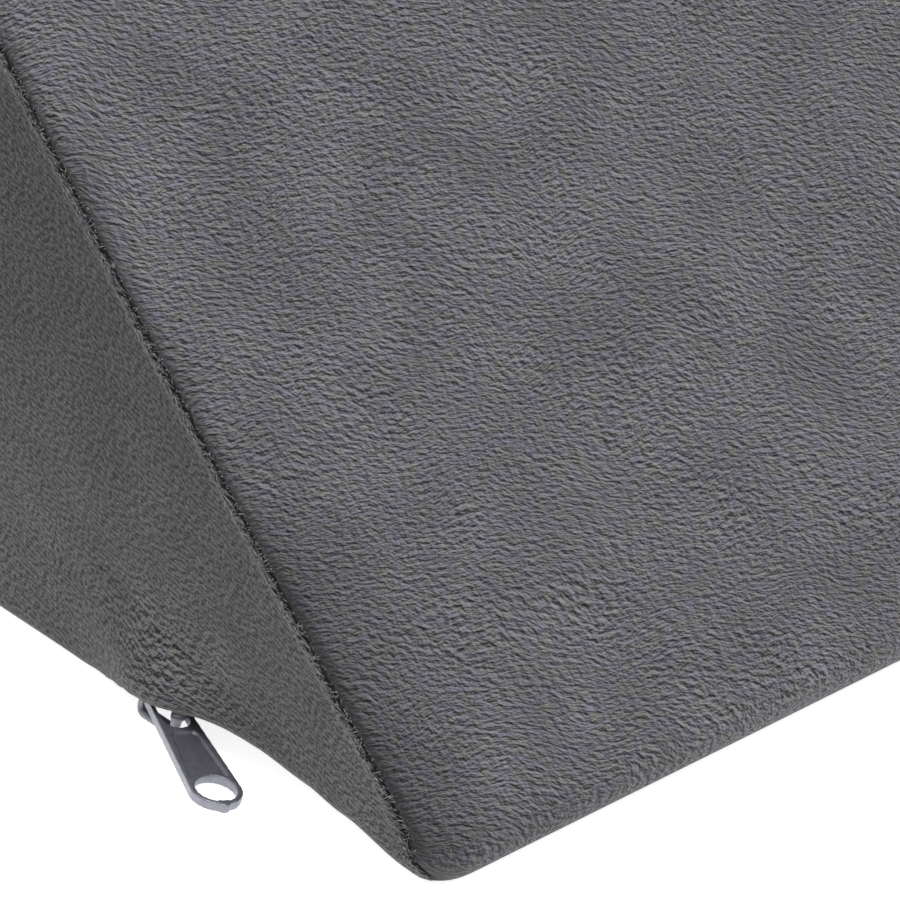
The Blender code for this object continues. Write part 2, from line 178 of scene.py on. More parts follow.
class NodeBoard:
    """A material's node tree, with short calls for the nodes that the finishes need."""

    MIX_SHARE, MIX_FIRST, MIX_SECOND, MIX_RESULT = 0, 6, 7, 2

    def __init__(self, name: str) -> None:
        """Start a material with its Principled shader.

        Args:
            name: The material's name.
        """
        self.material = bpy.data.materials.new(name)
        self.material.use_nodes = True
        self.tree = self.material.node_tree
        self.shader = self.tree.nodes["Principled BSDF"]

    def node(self, kind: str, **settings: object) -> bpy.types.Node:
        """Add a node and set its properties.

        Args:
            kind: The node's type.
            settings: Its properties and their values.

        Returns:
            The new node.
        """
        made = self.tree.nodes.new(kind)
        for key, value in settings.items():
            setattr(made, key, value)
        return made

    def feed(self, socket: bpy.types.NodeSocket, value: object) -> None:
        """Link a socket to another, or set its constant.

        Args:
            socket: The input that is fed.
            value: An output to link, or a constant.
        """
        if isinstance(value, bpy.types.NodeSocket):
            self.tree.links.new(value, socket)
        else:
            socket.default_value = value

    def math(self, operation: str, *values: object) -> bpy.types.NodeSocket:
        """Add a Math node on numbers or sockets.

        Args:
            operation: What the node does.
            values: Numbers or sockets.

        Returns:
            The result.
        """
        made = self.node("ShaderNodeMath", operation=operation)
        for socket, value in zip(made.inputs, values):
            self.feed(socket, value)
        return made.outputs[0]

    def vector(self, operation: str, *values: object) -> bpy.types.NodeSocket:
        """Add a Vector Math node on vectors or sockets.

        Args:
            operation: What the node does.
            values: Vectors or sockets.

        Returns:
            The result.
        """
        made = self.node("ShaderNodeVectorMath", operation=operation)
        for socket, value in zip(made.inputs, values):
            self.feed(socket, value)
        return made.outputs[0]

    def place(self) -> bpy.types.NodeSocket:
        """Return the Object coordinates, in metres."""
        return self.node("ShaderNodeTexCoord").outputs["Object"]

    def place_mm(self) -> bpy.types.NodeSocket:
        """Return the Object coordinates, in millimetres."""
        return self.vector("MULTIPLY", self.place(), TO_MM)

    def split(self, source: bpy.types.NodeSocket) -> bpy.types.NodeOutputs:
        """Split a vector into its parts.

        Args:
            source: The vector.

        Returns:
            Its three parts.
        """
        made = self.node("ShaderNodeSeparateXYZ")
        self.feed(made.inputs[0], source)
        return made.outputs

    def mapped(self, source: bpy.types.NodeSocket, turn: float, scale: tuple) -> bpy.types.NodeSocket:
        """Return coordinates turned in their plane and then scaled.

        Args:
            source: The coordinates.
            turn: The angle, in radians, of the pattern's long way.
            scale: The three scales.

        Returns:
            The new coordinates.
        """
        turned = self.node("ShaderNodeMapping", vector_type="POINT")
        self.feed(turned.inputs["Vector"], source)
        turned.inputs["Rotation"].default_value = (0.0, 0.0, -turn)
        scaled = self.node("ShaderNodeMapping", vector_type="POINT")
        self.feed(scaled.inputs["Vector"], turned.outputs[0])
        scaled.inputs["Scale"].default_value = scale
        return scaled.outputs[0]

    def noise(
        self, source: object, scale: float, detail: float = 1.0, rough: float = 0.5
    ) -> bpy.types.Node:
        """Add a Noise node.

        Args:
            source: The coordinates.
            scale: The inverse of the noise's grain.
            detail: How many finer layers it has.
            rough: How strong they are.

        Returns:
            The node, with its value and its colour.
        """
        made = self.node("ShaderNodeTexNoise", noise_dimensions="3D")
        self.feed(made.inputs["Vector"], source)
        made.inputs["Scale"].default_value = scale
        made.inputs["Detail"].default_value = detail
        made.inputs["Roughness"].default_value = rough
        return made

    def span(
        self, value: object, low: float, high: float, to_low: float = 0.0, to_high: float = 1.0
    ) -> bpy.types.NodeSocket:
        """Map a value smoothly from one range to another.

        Args:
            value: The value.
            low: Where its range starts.
            high: Where its range ends.
            to_low: The result at the start.
            to_high: The result at the end.

        Returns:
            The mapped value.
        """
        made = self.node("ShaderNodeMapRange", interpolation_type="SMOOTHSTEP")
        for socket, given in zip(made.inputs, (value, low, high, to_low, to_high)):
            self.feed(socket, given)
        return made.outputs[0]

    def mix(
        self, share: object, first: object, second: object, blend: str = "MIX"
    ) -> bpy.types.NodeSocket:
        """Mix two colours.

        Args:
            share: The second colour's share.
            first: The first colour.
            second: The second colour.
            blend: How they are mixed.

        Returns:
            The mixed colour.
        """
        made = self.node("ShaderNodeMix", data_type="RGBA", blend_type=blend)
        self.feed(made.inputs[self.MIX_SHARE], share)
        self.feed(made.inputs[self.MIX_FIRST], first)
        self.feed(made.inputs[self.MIX_SECOND], second)
        return made.outputs[self.MIX_RESULT]

    def colour(self, value: object) -> None:
        """Give the shader its base colour."""
        self.feed(self.shader.inputs["Base Color"], value)

    def bump(self, height: bpy.types.NodeSocket, depth: float, strength: float = 1.0) -> None:
        """Give the shader a relief of a height field.

        Args:
            height: The height field.
            depth: Its depth in metres.
            strength: How much of the relief shows.
        """
        made = self.node("ShaderNodeBump")
        self.feed(made.inputs["Strength"], strength)
        self.feed(made.inputs["Distance"], depth)
        self.feed(made.inputs["Height"], height)
        self.feed(self.shader.inputs["Normal"], made.outputs[0])

    def shade(self, **values: object) -> None:
        """Set the shader's own sockets, with spaces in their names written as underscores."""
        for key, value in values.items():
            self.shader.inputs[key.replace("_", " ")].default_value = value


@dataclass(frozen=True)
class VelourFinish:
    """Short lying pile: overlapping tufts along the nap, hairs, brushing, and painted light and
    shade.

    Coordinates come from the cover's own UV map, in metres of cloth, and lengths here are
    in millimetres. Each tuft has painted light at its tip and painted shade where the next
    one covers it, which is the difference of one noise field and the same field a little
    further up. The values for the crease, edge, toe, foot, top, press and rim are painted
    light and shade, as factors on the colour, and 1 leaves it as it is. Those of the foot,
    the top, the rim and the pressed spot go by the place on the pillow, not on the cloth.
    """

    name: str
    nap_turn: float
    tuft_length: float
    tuft_width: float
    overlap: float
    # contrast sets how strong the tufts' painted light at their tips and painted shade at their roots
    # are.
    contrast: float
    fineness: float
    dark: tuple
    light: tuple
    cloud_low: float
    cloud_high: float
    cloud_size: float
    sway: float
    flutter: float
    relief: float
    # The crease values paint shade in the seam's crease; the edge values paint the band beside the
    # seam, darker on the wrap and lighter on the side panels.
    crease_reach: float
    crease_painted_shade: float
    edge_reach: float
    edge_painted_light: float
    crease_place: float = 0.3
    # The toe values paint shade on the wrap near the toe's corner, beside the seam.
    toe_from: float = 790.0
    toe_to: float = 836.0
    toe_reach: float = 22.0
    toe_painted_shade: float = 1.0
    # The foot and top values paint light low down and shade high up, as from the floor's light.
    foot_painted_light: float = 1.0
    top_painted_shade: float = 1.0
    top_height: float = 85.0
    # The press values paint a highlight over the slider's bulge, where the pile is pressed flat.
    press_place: tuple = (-228.0, -237.5, 12.0)
    press_reach: float = 19.0
    press_painted_light: float = 1.0
    # The rim values paint shade on the lowest band above the floor, where the floor's light falls.
    rim_painted_shade: float = 1.0
    rim_height: float = 10.0
    sway_size: float = 24.0
    flutter_size: float = 3.6
    slant: float = 0.15
    small_tuft: float = 0.5
    hair: float = 0.24
    hair_share: float = 0.85
    shade_range: tuple = (-0.2, 1.35)
    cloud_range: tuple = (0.3, 0.7)
    tint_size: float = 2.2
    tint_range: tuple = (0.38, 0.62)
    warm_tint: tuple = (1.03, 1.02, 0.93, 1.0)
    cool_tint: tuple = (0.985, 0.97, 1.08, 1.0)
    sheen: float = 0.2

    def swept(self, board: NodeBoard, metric: bpy.types.NodeSocket) -> bpy.types.NodeSocket:
        """Bend the cloth's coordinates as the nap was brushed.

        Args:
            board: The board of the material that is being made.
            metric: The cloth's coordinates in millimetres.

        Returns:
            The bent coordinates.
        """
        bent = metric
        for size, amount in ((self.sway_size, self.sway), (self.flutter_size, self.flutter)):
            field_colour = board.noise(metric, 1 / size, 1.0).outputs["Color"]
            centred = board.vector("SUBTRACT", field_colour, (0.5, 0.5, 0.5))
            bend = board.vector("MULTIPLY", centred, (amount * 0.5, amount, 0.0))
            bent = board.vector("ADD", bent, bend)
        return bent

    def tufts(self, board: NodeBoard, swept: bpy.types.NodeSocket, size: float) -> tuple:
        """Make one layer of tufts.

        Args:
            board: The board of the material that is being made.
            swept: The bent coordinates of the cloth.
            size: The layer's share of a large tuft.

        Returns:
            Its height, and its painted light and shade from tip to root.
        """
        grain = (1 / (self.tuft_length * size), 1 / (self.tuft_width * size), 1 / size)
        lying = board.mapped(swept, self.nap_turn, grain)
        ahead = board.vector("ADD", lying, (self.slant, self.overlap, 0.0))
        tip = board.noise(lying, 1.0, 0.0).outputs[0]
        root = board.noise(ahead, 1.0, 0.0).outputs[0]
        return tip, board.math("SUBTRACT", tip, root)

    def pile(self, board: NodeBoard, swept: bpy.types.NodeSocket) -> tuple:
        """Lay large tufts, small tufts and hairs over each other.

        Args:
            board: The board of the material that is being made.
            swept: The bent coordinates of the cloth.

        Returns:
            The pile's height, and its painted light and shade.
        """
        height, shade = 0.0, 0.5
        small, hair = (self.small_tuft, self.fineness), (self.hair, self.fineness * self.hair_share)
        for size, amount in ((1.0, 1.0), small, hair):
            rise, light = self.tufts(board, swept, size)
            height = board.math("ADD", board.math("MULTIPLY", rise, size), height)
            light = board.math("MULTIPLY", light, self.contrast * amount)
            shade = board.math("ADD", light, shade)
        return height, shade

    def painted_seam_shade(self, board: NodeBoard) -> bpy.types.NodeSocket:
        """Paint shade in the seam's crease, by the toe and just above the floor, and paint the band
        beside the seam.

        Args:
            board: The board of the material that is being made.

        Returns:
            The painted light and shade, as a factor on the colour.
        """
        seam = board.node("ShaderNodeAttribute", attribute_name="seam")
        run, gap, _ = board.split(seam.outputs["Vector"])
        near_toe = board.span(run, self.toe_from, self.toe_to)
        distance = board.math("ABSOLUTE", gap)
        from_crease = board.math("ABSOLUTE", board.math("SUBTRACT", gap, self.crease_place))
        widened = board.math("MULTIPLY_ADD", near_toe, 0.5 * self.crease_reach, self.crease_reach)
        # Painted shade in the seam's crease; the band beside it is painted darker on the wrap and
        # lighter on the side panels.
        crease = board.span(from_crease, 0.0, widened, self.crease_painted_shade, 1.0)
        edge = board.span(distance, 0.0, self.edge_reach, self.edge_painted_light, 1.0)
        # Painted shade near the toe's corner.
        corner = board.span(distance, 0.0, self.toe_reach, self.toe_painted_shade, 1.0)
        corner = board.math("MULTIPLY", board.math("SUBTRACT", corner, 1.0), near_toe)
        corner = board.math("ADD", corner, 1.0)
        # Painted shade just above the floor.
        height = board.split(board.place_mm())[2]
        rim = board.span(height, 0.0, self.rim_height, self.rim_painted_shade, 1.0)
        shade = board.math("MULTIPLY", crease, edge)
        return board.math("MULTIPLY", shade, board.math("MINIMUM", corner, rim))

    def painted_place_light(self, board: NodeBoard) -> bpy.types.NodeSocket:
        """Paint light at the foot, shade toward the top, and a highlight over the slider's bulge.

        Args:
            board: The board of the material that is being made.

        Returns:
            The painted light and shade, as a factor on the colour.
        """
        metric = board.place_mm()
        height = board.split(metric)[2]
        # Painted light low down and painted shade higher up.
        rise = board.span(height, 0.0, self.top_height, self.foot_painted_light, self.top_painted_shade)
        # A painted highlight over the slider's bulge.
        away = board.node("ShaderNodeVectorMath", operation="DISTANCE")
        board.feed(away.inputs[0], metric)
        board.feed(away.inputs[1], self.press_place)
        pressed = board.span(away.outputs["Value"], 0.0, self.press_reach, self.press_painted_light, 1.0)
        return board.math("MULTIPLY", rise, pressed)

    def make(self) -> bpy.types.Material:
        """Build the finish.

        Returns:
            The material.
        """
        board = NodeBoard(self.name)
        cloth = board.node("ShaderNodeUVMap", uv_map="cloth").outputs[0]
        metric = board.vector("MULTIPLY", cloth, TO_MM)
        height, shade = self.pile(board, self.swept(board, metric))
        # The tufts' painted light and shade choose between the dark and the light colour.
        shade = board.span(shade, *self.shade_range)
        colour = board.mix(shade, (*self.dark, 1.0), (*self.light, 1.0))
        cloud = board.noise(metric, 1 / self.cloud_size, 3.0, 0.6).outputs[0]
        cloud = board.span(cloud, *self.cloud_range, self.cloud_low, self.cloud_high)
        tint = board.noise(metric, 1 / self.tint_size, 2.0, 0.6).outputs[0]
        tint = board.mix(board.span(tint, *self.tint_range), self.warm_tint, self.cool_tint)
        colour = board.mix(1.0, colour, tint, "MULTIPLY")
        # The painted light and shade of the seam, toe, rim, foot, top and press are multiplied into
        # the colour.
        value = board.math("MULTIPLY", cloud, self.painted_seam_shade(board))
        value = board.math("MULTIPLY", value, self.painted_place_light(board))
        board.colour(board.mix(1.0, colour, value, "MULTIPLY"))
        board.bump(height, self.relief * MM)
        board.shade(Roughness=0.9, Sheen_Weight=self.sheen, Sheen_Roughness=0.45)
        board.shade(Specular_IOR_Level=0.15)
        return board.material


@dataclass(frozen=True)
class BristleFinish:
    """Single pile hairs that stand at the seams."""

    name: str = "seam hairs"
    dark: tuple = (0.055, 0.055, 0.057, 1.0)
    light: tuple = (0.21, 0.21, 0.218, 1.0)
    grain: float = 2600.0

    def make(self) -> bpy.types.Material:
        """Build the finish.

        Returns:
            The material.
        """
        board = NodeBoard(self.name)
        shade = board.noise(board.place(), self.grain).outputs[0]
        board.colour(board.mix(board.span(shade, 0.3, 0.7), self.dark, self.light))
        board.shade(Roughness=0.8, Sheen_Weight=0.2)
        return board.material


@dataclass(frozen=True)
class CastMetalFinish:
    """Satin plated die-cast metal with faint casting waves."""

    name: str = "satin zip metal"
    colour: tuple = (0.195, 0.198, 0.228, 1.0)
    roughness: float = 0.33
    wave_scale: float = 900.0
    grain_scale: float = 5200.0
    wave_tones: tuple = (0.9, 1.06)
    wave_depth: float = 0.08 * MM
    wave_strength: float = 0.35

    def make(self) -> bpy.types.Material:
        """Build the finish.

        Returns:
            The material.
        """
        board = NodeBoard(self.name)
        waves = board.noise(board.place(), self.wave_scale, 2.0).outputs[0]
        grain = board.noise(board.place(), self.grain_scale).outputs[0]
        # The colour turns a little darker and lighter with the casting waves.
        wave_tone = board.span(waves, 0.35, 0.7, *self.wave_tones)
        board.colour(board.mix(1.0, self.colour, wave_tone, "MULTIPLY"))
        rough = board.span(grain, 0.3, 0.7, self.roughness - 0.05, self.roughness + 0.09)
        board.feed(board.shader.inputs["Roughness"], rough)
        board.bump(waves, self.wave_depth, self.wave_strength)
        board.shade(Metallic=0.6)
        return board.material


@dataclass(frozen=True)
class ZipTapeFinish:
    """Woven polyester tape with the coil's stitches across it."""

    name: str = "zip tape and coil"
    dark: tuple = (0.035, 0.035, 0.04, 1.0)
    light: tuple = (0.11, 0.11, 0.12, 1.0)
    coil_pitch: float = 1.1
    weave_pitch: float = 0.35
    weave_share: float = 0.35
    relief_shade: float = 0.25
    depth: float = 0.25 * MM

    def make(self) -> bpy.types.Material:
        """Build the finish.

        Returns:
            The material.
        """
        board = NodeBoard(self.name)
        metric = board.place_mm()
        across, along, _ = board.split(metric)
        coils = board.math("MULTIPLY", along, 2 * math.pi / self.coil_pitch)
        weave = board.math("MULTIPLY", across, 2 * math.pi / self.weave_pitch)
        weave = board.math("MULTIPLY", board.math("SINE", weave), self.weave_share)
        relief = board.math("ADD", board.math("SINE", coils), weave)
        fuzz = board.noise(metric, 2.2, 2.0).outputs[0]
        share = board.math("ADD", board.math("MULTIPLY", relief, self.relief_shade), fuzz)
        board.colour(board.mix(board.span(share, 0.2, 0.9), self.dark, self.light))
        board.bump(relief, self.depth)
        board.shade(Roughness=0.7)
        return board.material


@dataclass(frozen=True)
class FloorFinish:
    """Plain white light table, lit a little from below, with the faintest unevenness."""

    name: str = "studio floor"
    glow: float = 0.8
    low: tuple = (0.93, 0.93, 0.93, 1.0)
    high: tuple = (0.95, 0.95, 0.95, 1.0)

    def make(self) -> bpy.types.Material:
        """Build the finish.

        Returns:
            The material.
        """
        board = NodeBoard(self.name)
        shade = board.noise(board.place(), 3.0).outputs[0]
        board.colour(board.mix(shade, self.low, self.high))
        board.shade(Roughness=1.0, Specular_IOR_Level=0.0)
        board.shade(Emission_Color=(1.0, 1.0, 1.0, 1.0), Emission_Strength=self.glow)
        return board.material


@dataclass
class WedgeForm:
    """The pillow's form: a wedge with a ramp, drawn in at its seams and lifted at the zip.

    Every section across the pillow is the side view's outline, drawn in near the sides.
    The mesh's points lie closer together in the zones near the toe, the zip and the back's
    corners, as the spacings say.
    """

    length: float = 597 * MM
    width: float = 450 * MM
    height: float = 197 * MM
    crown: float = 3.0 * MM
    crown_reach: float = 90 * MM
    crown_start_height: float = 12 * MM
    ramp_start_angle: float = math.radians(45)
    ramp_end_angle: float = math.radians(48)
    ramp_bend_from: float = 66 * MM
    ramp_bend_to: float = 104 * MM
    toe_radius: float = 4.5 * MM
    crest_radius: float = 55 * MM
    back_top_radius: float = 14 * MM
    back_foot_radius: float = 6 * MM
    edge_round: float = 3.2 * MM
    toe_corner_round: float = 7.5 * MM
    toe_corner_reach: float = 24 * MM
    side_bulge: float = 4.0 * MM
    bulge_reach: float = 85 * MM
    middle_back_share: float = 0.57
    middle_height_share: float = 0.46
    edge_lift: tuple = (
        (6 * MM, 0.0),
        (14 * MM, 0.9 * MM),
        (28 * MM, 3.1 * MM),
        (36 * MM, 4.2 * MM),
        (47 * MM, 5.0 * MM),
        (58 * MM, 5.4 * MM),
        (63 * MM, 4.9 * MM),
        (68 * MM, 4.3 * MM),
        (72 * MM, 3.3 * MM),
        (76 * MM, 1.7 * MM),
        (80 * MM, 0.6 * MM),
        (86 * MM, 0.0),
    )
    edge_lift_inward: float = 11 * MM
    edge_lift_up: float = 22 * MM
    slider_back: float = 66.9 * MM
    slider_bottom: float = 5.1 * MM
    cover_bulge: float = 4.3 * MM
    cover_reach: float = 10 * MM
    arc_steps: int = 64
    toe_zone: float = 12 * MM
    near_zone: float = 92 * MM
    middle_zone: float = 150 * MM
    far_zone: float = 240 * MM
    back_zone: float = 16 * MM
    back_foot_zone: float = 8 * MM
    back_top_zone: float = 18 * MM
    floor_zone: float = 1 * MM
    toe_spacing: float = 0.55 * MM
    near_spacing: float = 0.8 * MM
    near_floor_spacing: float = 1.1 * MM
    back_spacing: float = 1.2 * MM
    middle_spacing: float = 1.3 * MM
    far_spacing: float = 2.2 * MM
    top_spacing: float = 4.5 * MM
    floor_spacing: float = 6 * MM

    def fillet(self, before: Vector, corner: Vector, after: Vector, radius: float) -> list:
        """Round a corner of the outline with an arc.

        Args:
            before: The corner before.
            corner: The corner that is rounded.
            after: The corner after.
            radius: The arc's radius.

        Returns:
            The arc's points, in order.
        """
        to_before = (before - corner).normalized()
        to_after = (after - corner).normalized()
        half = to_before.angle(to_after) / 2
        start = corner + to_before * (radius / math.tan(half))
        end = corner + to_after * (radius / math.tan(half))
        centre = corner + (to_before + to_after).normalized() * (radius / math.sin(half))
        start_angle = math.atan2(start.y - centre.y, start.x - centre.x)
        turn = math.atan2(end.y - centre.y, end.x - centre.x) - start_angle
        turn = (turn + math.pi) % (2 * math.pi) - math.pi
        steps = range(self.arc_steps + 1)
        angles = [start_angle + turn * step / self.arc_steps for step in steps]
        return [centre + radius * Vector((math.cos(a), math.sin(a))) for a in angles]

    def curve(self) -> np.ndarray:
        """Draw the side view's closed line, from the back's foot up and over to the toe.

        Returns:
            The line's points (back, height), with the first one again at its end.
        """
        toe = Vector((0.0, 0.0))
        rise = self.ramp_bend_from * math.tan(self.ramp_start_angle)
        bend_from = Vector((self.ramp_bend_from, rise))
        bend_angle = (self.ramp_start_angle + self.ramp_end_angle) / 2
        bend_run = self.ramp_bend_to - self.ramp_bend_from
        bend_to = bend_from + Vector((bend_run, bend_run * math.tan(bend_angle)))
        crest_rise = self.height - bend_to.y
        crest = bend_to + Vector((crest_rise / math.tan(self.ramp_end_angle), crest_rise))
        back_top = Vector((self.length, self.height))
        back_foot = Vector((self.length, 0.0))
        line = self.fillet(toe, back_foot, back_top, self.back_foot_radius)
        line += self.fillet(back_foot, back_top, crest, self.back_top_radius)
        line += self.fillet(back_top, crest, bend_to, self.crest_radius)
        line += [bend_to, bend_from]
        line += self.fillet(bend_from, toe, back_foot, self.toe_radius)
        return np.array([[point.x, point.y] for point in line + line[:1]])

    def spacing(self, back: float, height: float) -> float:
        """Choose how far apart the mesh's points lie on the outline.

        Args:
            back: How far back the place is.
            height: How high it is.

        Returns:
            The distance between points there.
        """
        if back < self.toe_zone:
            return self.toe_spacing
        at_corner = height < self.back_foot_zone or height > self.height - self.back_top_zone
        if back > self.length - self.back_zone and at_corner:
            return self.back_spacing
        if height < self.floor_zone:
            return self.near_floor_spacing if back < self.near_zone else self.floor_spacing
        if back < self.near_zone:
            return self.near_spacing
        if back < self.middle_zone:
            return self.middle_spacing
        return self.far_spacing if back < self.far_zone else self.top_spacing

    def outline(self) -> tuple[np.ndarray, np.ndarray]:
        """Place the mesh's points along the side view's line.

        Returns:
            The points (back, height), and how far round the outline each one is.
        """
        line = self.curve()
        steps = np.linalg.norm(np.diff(line, axis=0), axis=1)
        along = np.concatenate([[0.0], np.cumsum(steps)])
        runs = [0.0]
        while runs[-1] < along[-1]:
            back = np.interp(runs[-1], along, line[:, 0])
            height = np.interp(runs[-1], along, line[:, 1])
            runs.append(runs[-1] + self.spacing(back, height))
        runs = np.array(runs[:-1])
        places = [np.interp(runs, along, line[:, axis]) for axis in (0, 1)]
        return np.stack(places, axis=1), runs

    def drawn_in(self, inward: float, radius: float) -> float:
        """Tell how far a quarter-round edge is drawn in.

        Args:
            inward: The distance from the side.
            radius: The edge's radius.

        Returns:
            The depth below the flat face.
        """
        if inward >= radius:
            return 0.0
        share = 1 - inward / radius
        return radius * (1 - math.sqrt(1 - share * share))

    def lift(self, back: np.ndarray) -> np.ndarray:
        """Tell how far the zip side's lower edge is pulled up.

        Args:
            back: How far back the places are.

        Returns:
            The lift at each place.
        """
        lifted = np.zeros_like(back)
        for (from_back, from_lift), (to_back, to_lift) in zip(self.edge_lift, self.edge_lift[1:]):
            inside = (back >= from_back) & (back <= to_back)
            share = smooth_step((back - from_back) / (to_back - from_back))
            lifted = np.where(inside, from_lift + (to_lift - from_lift) * share, lifted)
        return lifted

    def push(self, back: np.ndarray, height: np.ndarray) -> np.ndarray:
        """Return how far the slider pushes the zip side's cover out."""
        along = hump(back - self.slider_back, self.cover_reach)
        return self.cover_bulge * along * hump(height - self.slider_bottom, self.cover_reach)

    def section(
        self, outline: np.ndarray, normals: np.ndarray, inward: float, side: Side
    ) -> np.ndarray:
        """Return one section across the pillow as world points.

        Args:
            outline: The side view's points (back, height).
            normals: Their outward directions.
            inward: The section's distance from its side.
            side: The side that it is measured from.

        Returns:
            One world point for each outline point.
        """
        edge = self.drawn_in(inward, self.edge_round)
        corner = self.drawn_in(inward, self.toe_corner_round) - edge
        crown = self.crown * smooth_step(inward / self.crown_reach)
        swell = crown * smooth_step(outline[:, 1] / self.crown_start_height) - edge
        back = outline[:, 0] + normals[:, 0] * swell
        height = outline[:, 1] + normals[:, 1] * swell
        from_toe = np.linalg.norm(outline, axis=1)
        back = back + corner * (1 - smooth_step(from_toe / self.toe_corner_reach))
        shift = np.zeros_like(back)
        if side is Side.ZIP:
            near = 1 - smooth_step(inward / self.edge_lift_inward)
            low = 1 - smooth_step(height / self.edge_lift_up)
            height = height + self.lift(back) * near * low
            shift = self.push(back, height) * near
        across = side.value * (self.width / 2 - inward + shift)
        return np.stack([across, back - self.length / 2, height], axis=1)

    def side_ring(self, seam_ring: np.ndarray, share: np.ndarray, side: Side) -> np.ndarray:
        """Make one ring of a side panel.

        Args:
            seam_ring: The section at the panel's seam.
            share: Each point's share of the way to the panel's middle.
            side: The side of the pillow.

        Returns:
            The ring's points.
        """
        middle = self.side_middle(side)
        flat = seam_ring.copy()
        flat[:, 0] = side.value * self.width / 2
        ring = flat + (middle - flat) * share
        back, height = ring[:, 1] + self.length / 2, ring[:, 2]
        pushed = self.push(back, height) if side is Side.ZIP else 0.0
        ring[:, 0] += side.value * (self.bulge(back, height) + pushed)
        return ring

    def bulge(self, back: np.ndarray, height: np.ndarray) -> np.ndarray:
        """Tell how far a side panel bulges out, from the distances to its four edges.

        Args:
            back: How far back the places are.
            height: How high they are.

        Returns:
            The bulge at each place.
        """
        from_ramp = (back - height) * math.sin(self.ramp_start_angle)
        low = smooth_step(height / self.bulge_reach) * smooth_step(from_ramp / self.bulge_reach)
        high = smooth_step((self.height - height) / self.bulge_reach)
        return self.side_bulge * low * high * smooth_step((self.length - back) / self.bulge_reach)

    def side_middle(self, side: Side) -> np.ndarray:
        """Find the middle of a side panel, before its bulge.

        Args:
            side: The side of the pillow.

        Returns:
            The middle's place.
        """
        back = self.length * (self.middle_back_share - 0.5)
        height = self.height * self.middle_height_share
        return np.array([side.value * self.width / 2, back, height])


@dataclass
class ClothGrid:
    """The cover's rows of points, from one side panel's middle to the other's.

    Each row goes once round the outline. A row has its panel and its distance over the
    wrap, and a point has its signed distance from the seam, plus on the wrap and minus on
    a side panel, before ("gaps") and after ("paths") the rows are tucked under. A column
    has its run round the outline, its outward direction, and how far it is tucked.
    """

    points: np.ndarray
    panels: list
    spans: np.ndarray
    gaps: np.ndarray
    paths: np.ndarray
    runs: np.ndarray
    girth: float
    normals: np.ndarray
    tucked: np.ndarray

    def seam_rows(self) -> list:
        """Return the numbers of the two rows that lie on the seams."""
        return [row for row in range(len(self.gaps)) if np.abs(self.gaps[row]).max() < EXACT]


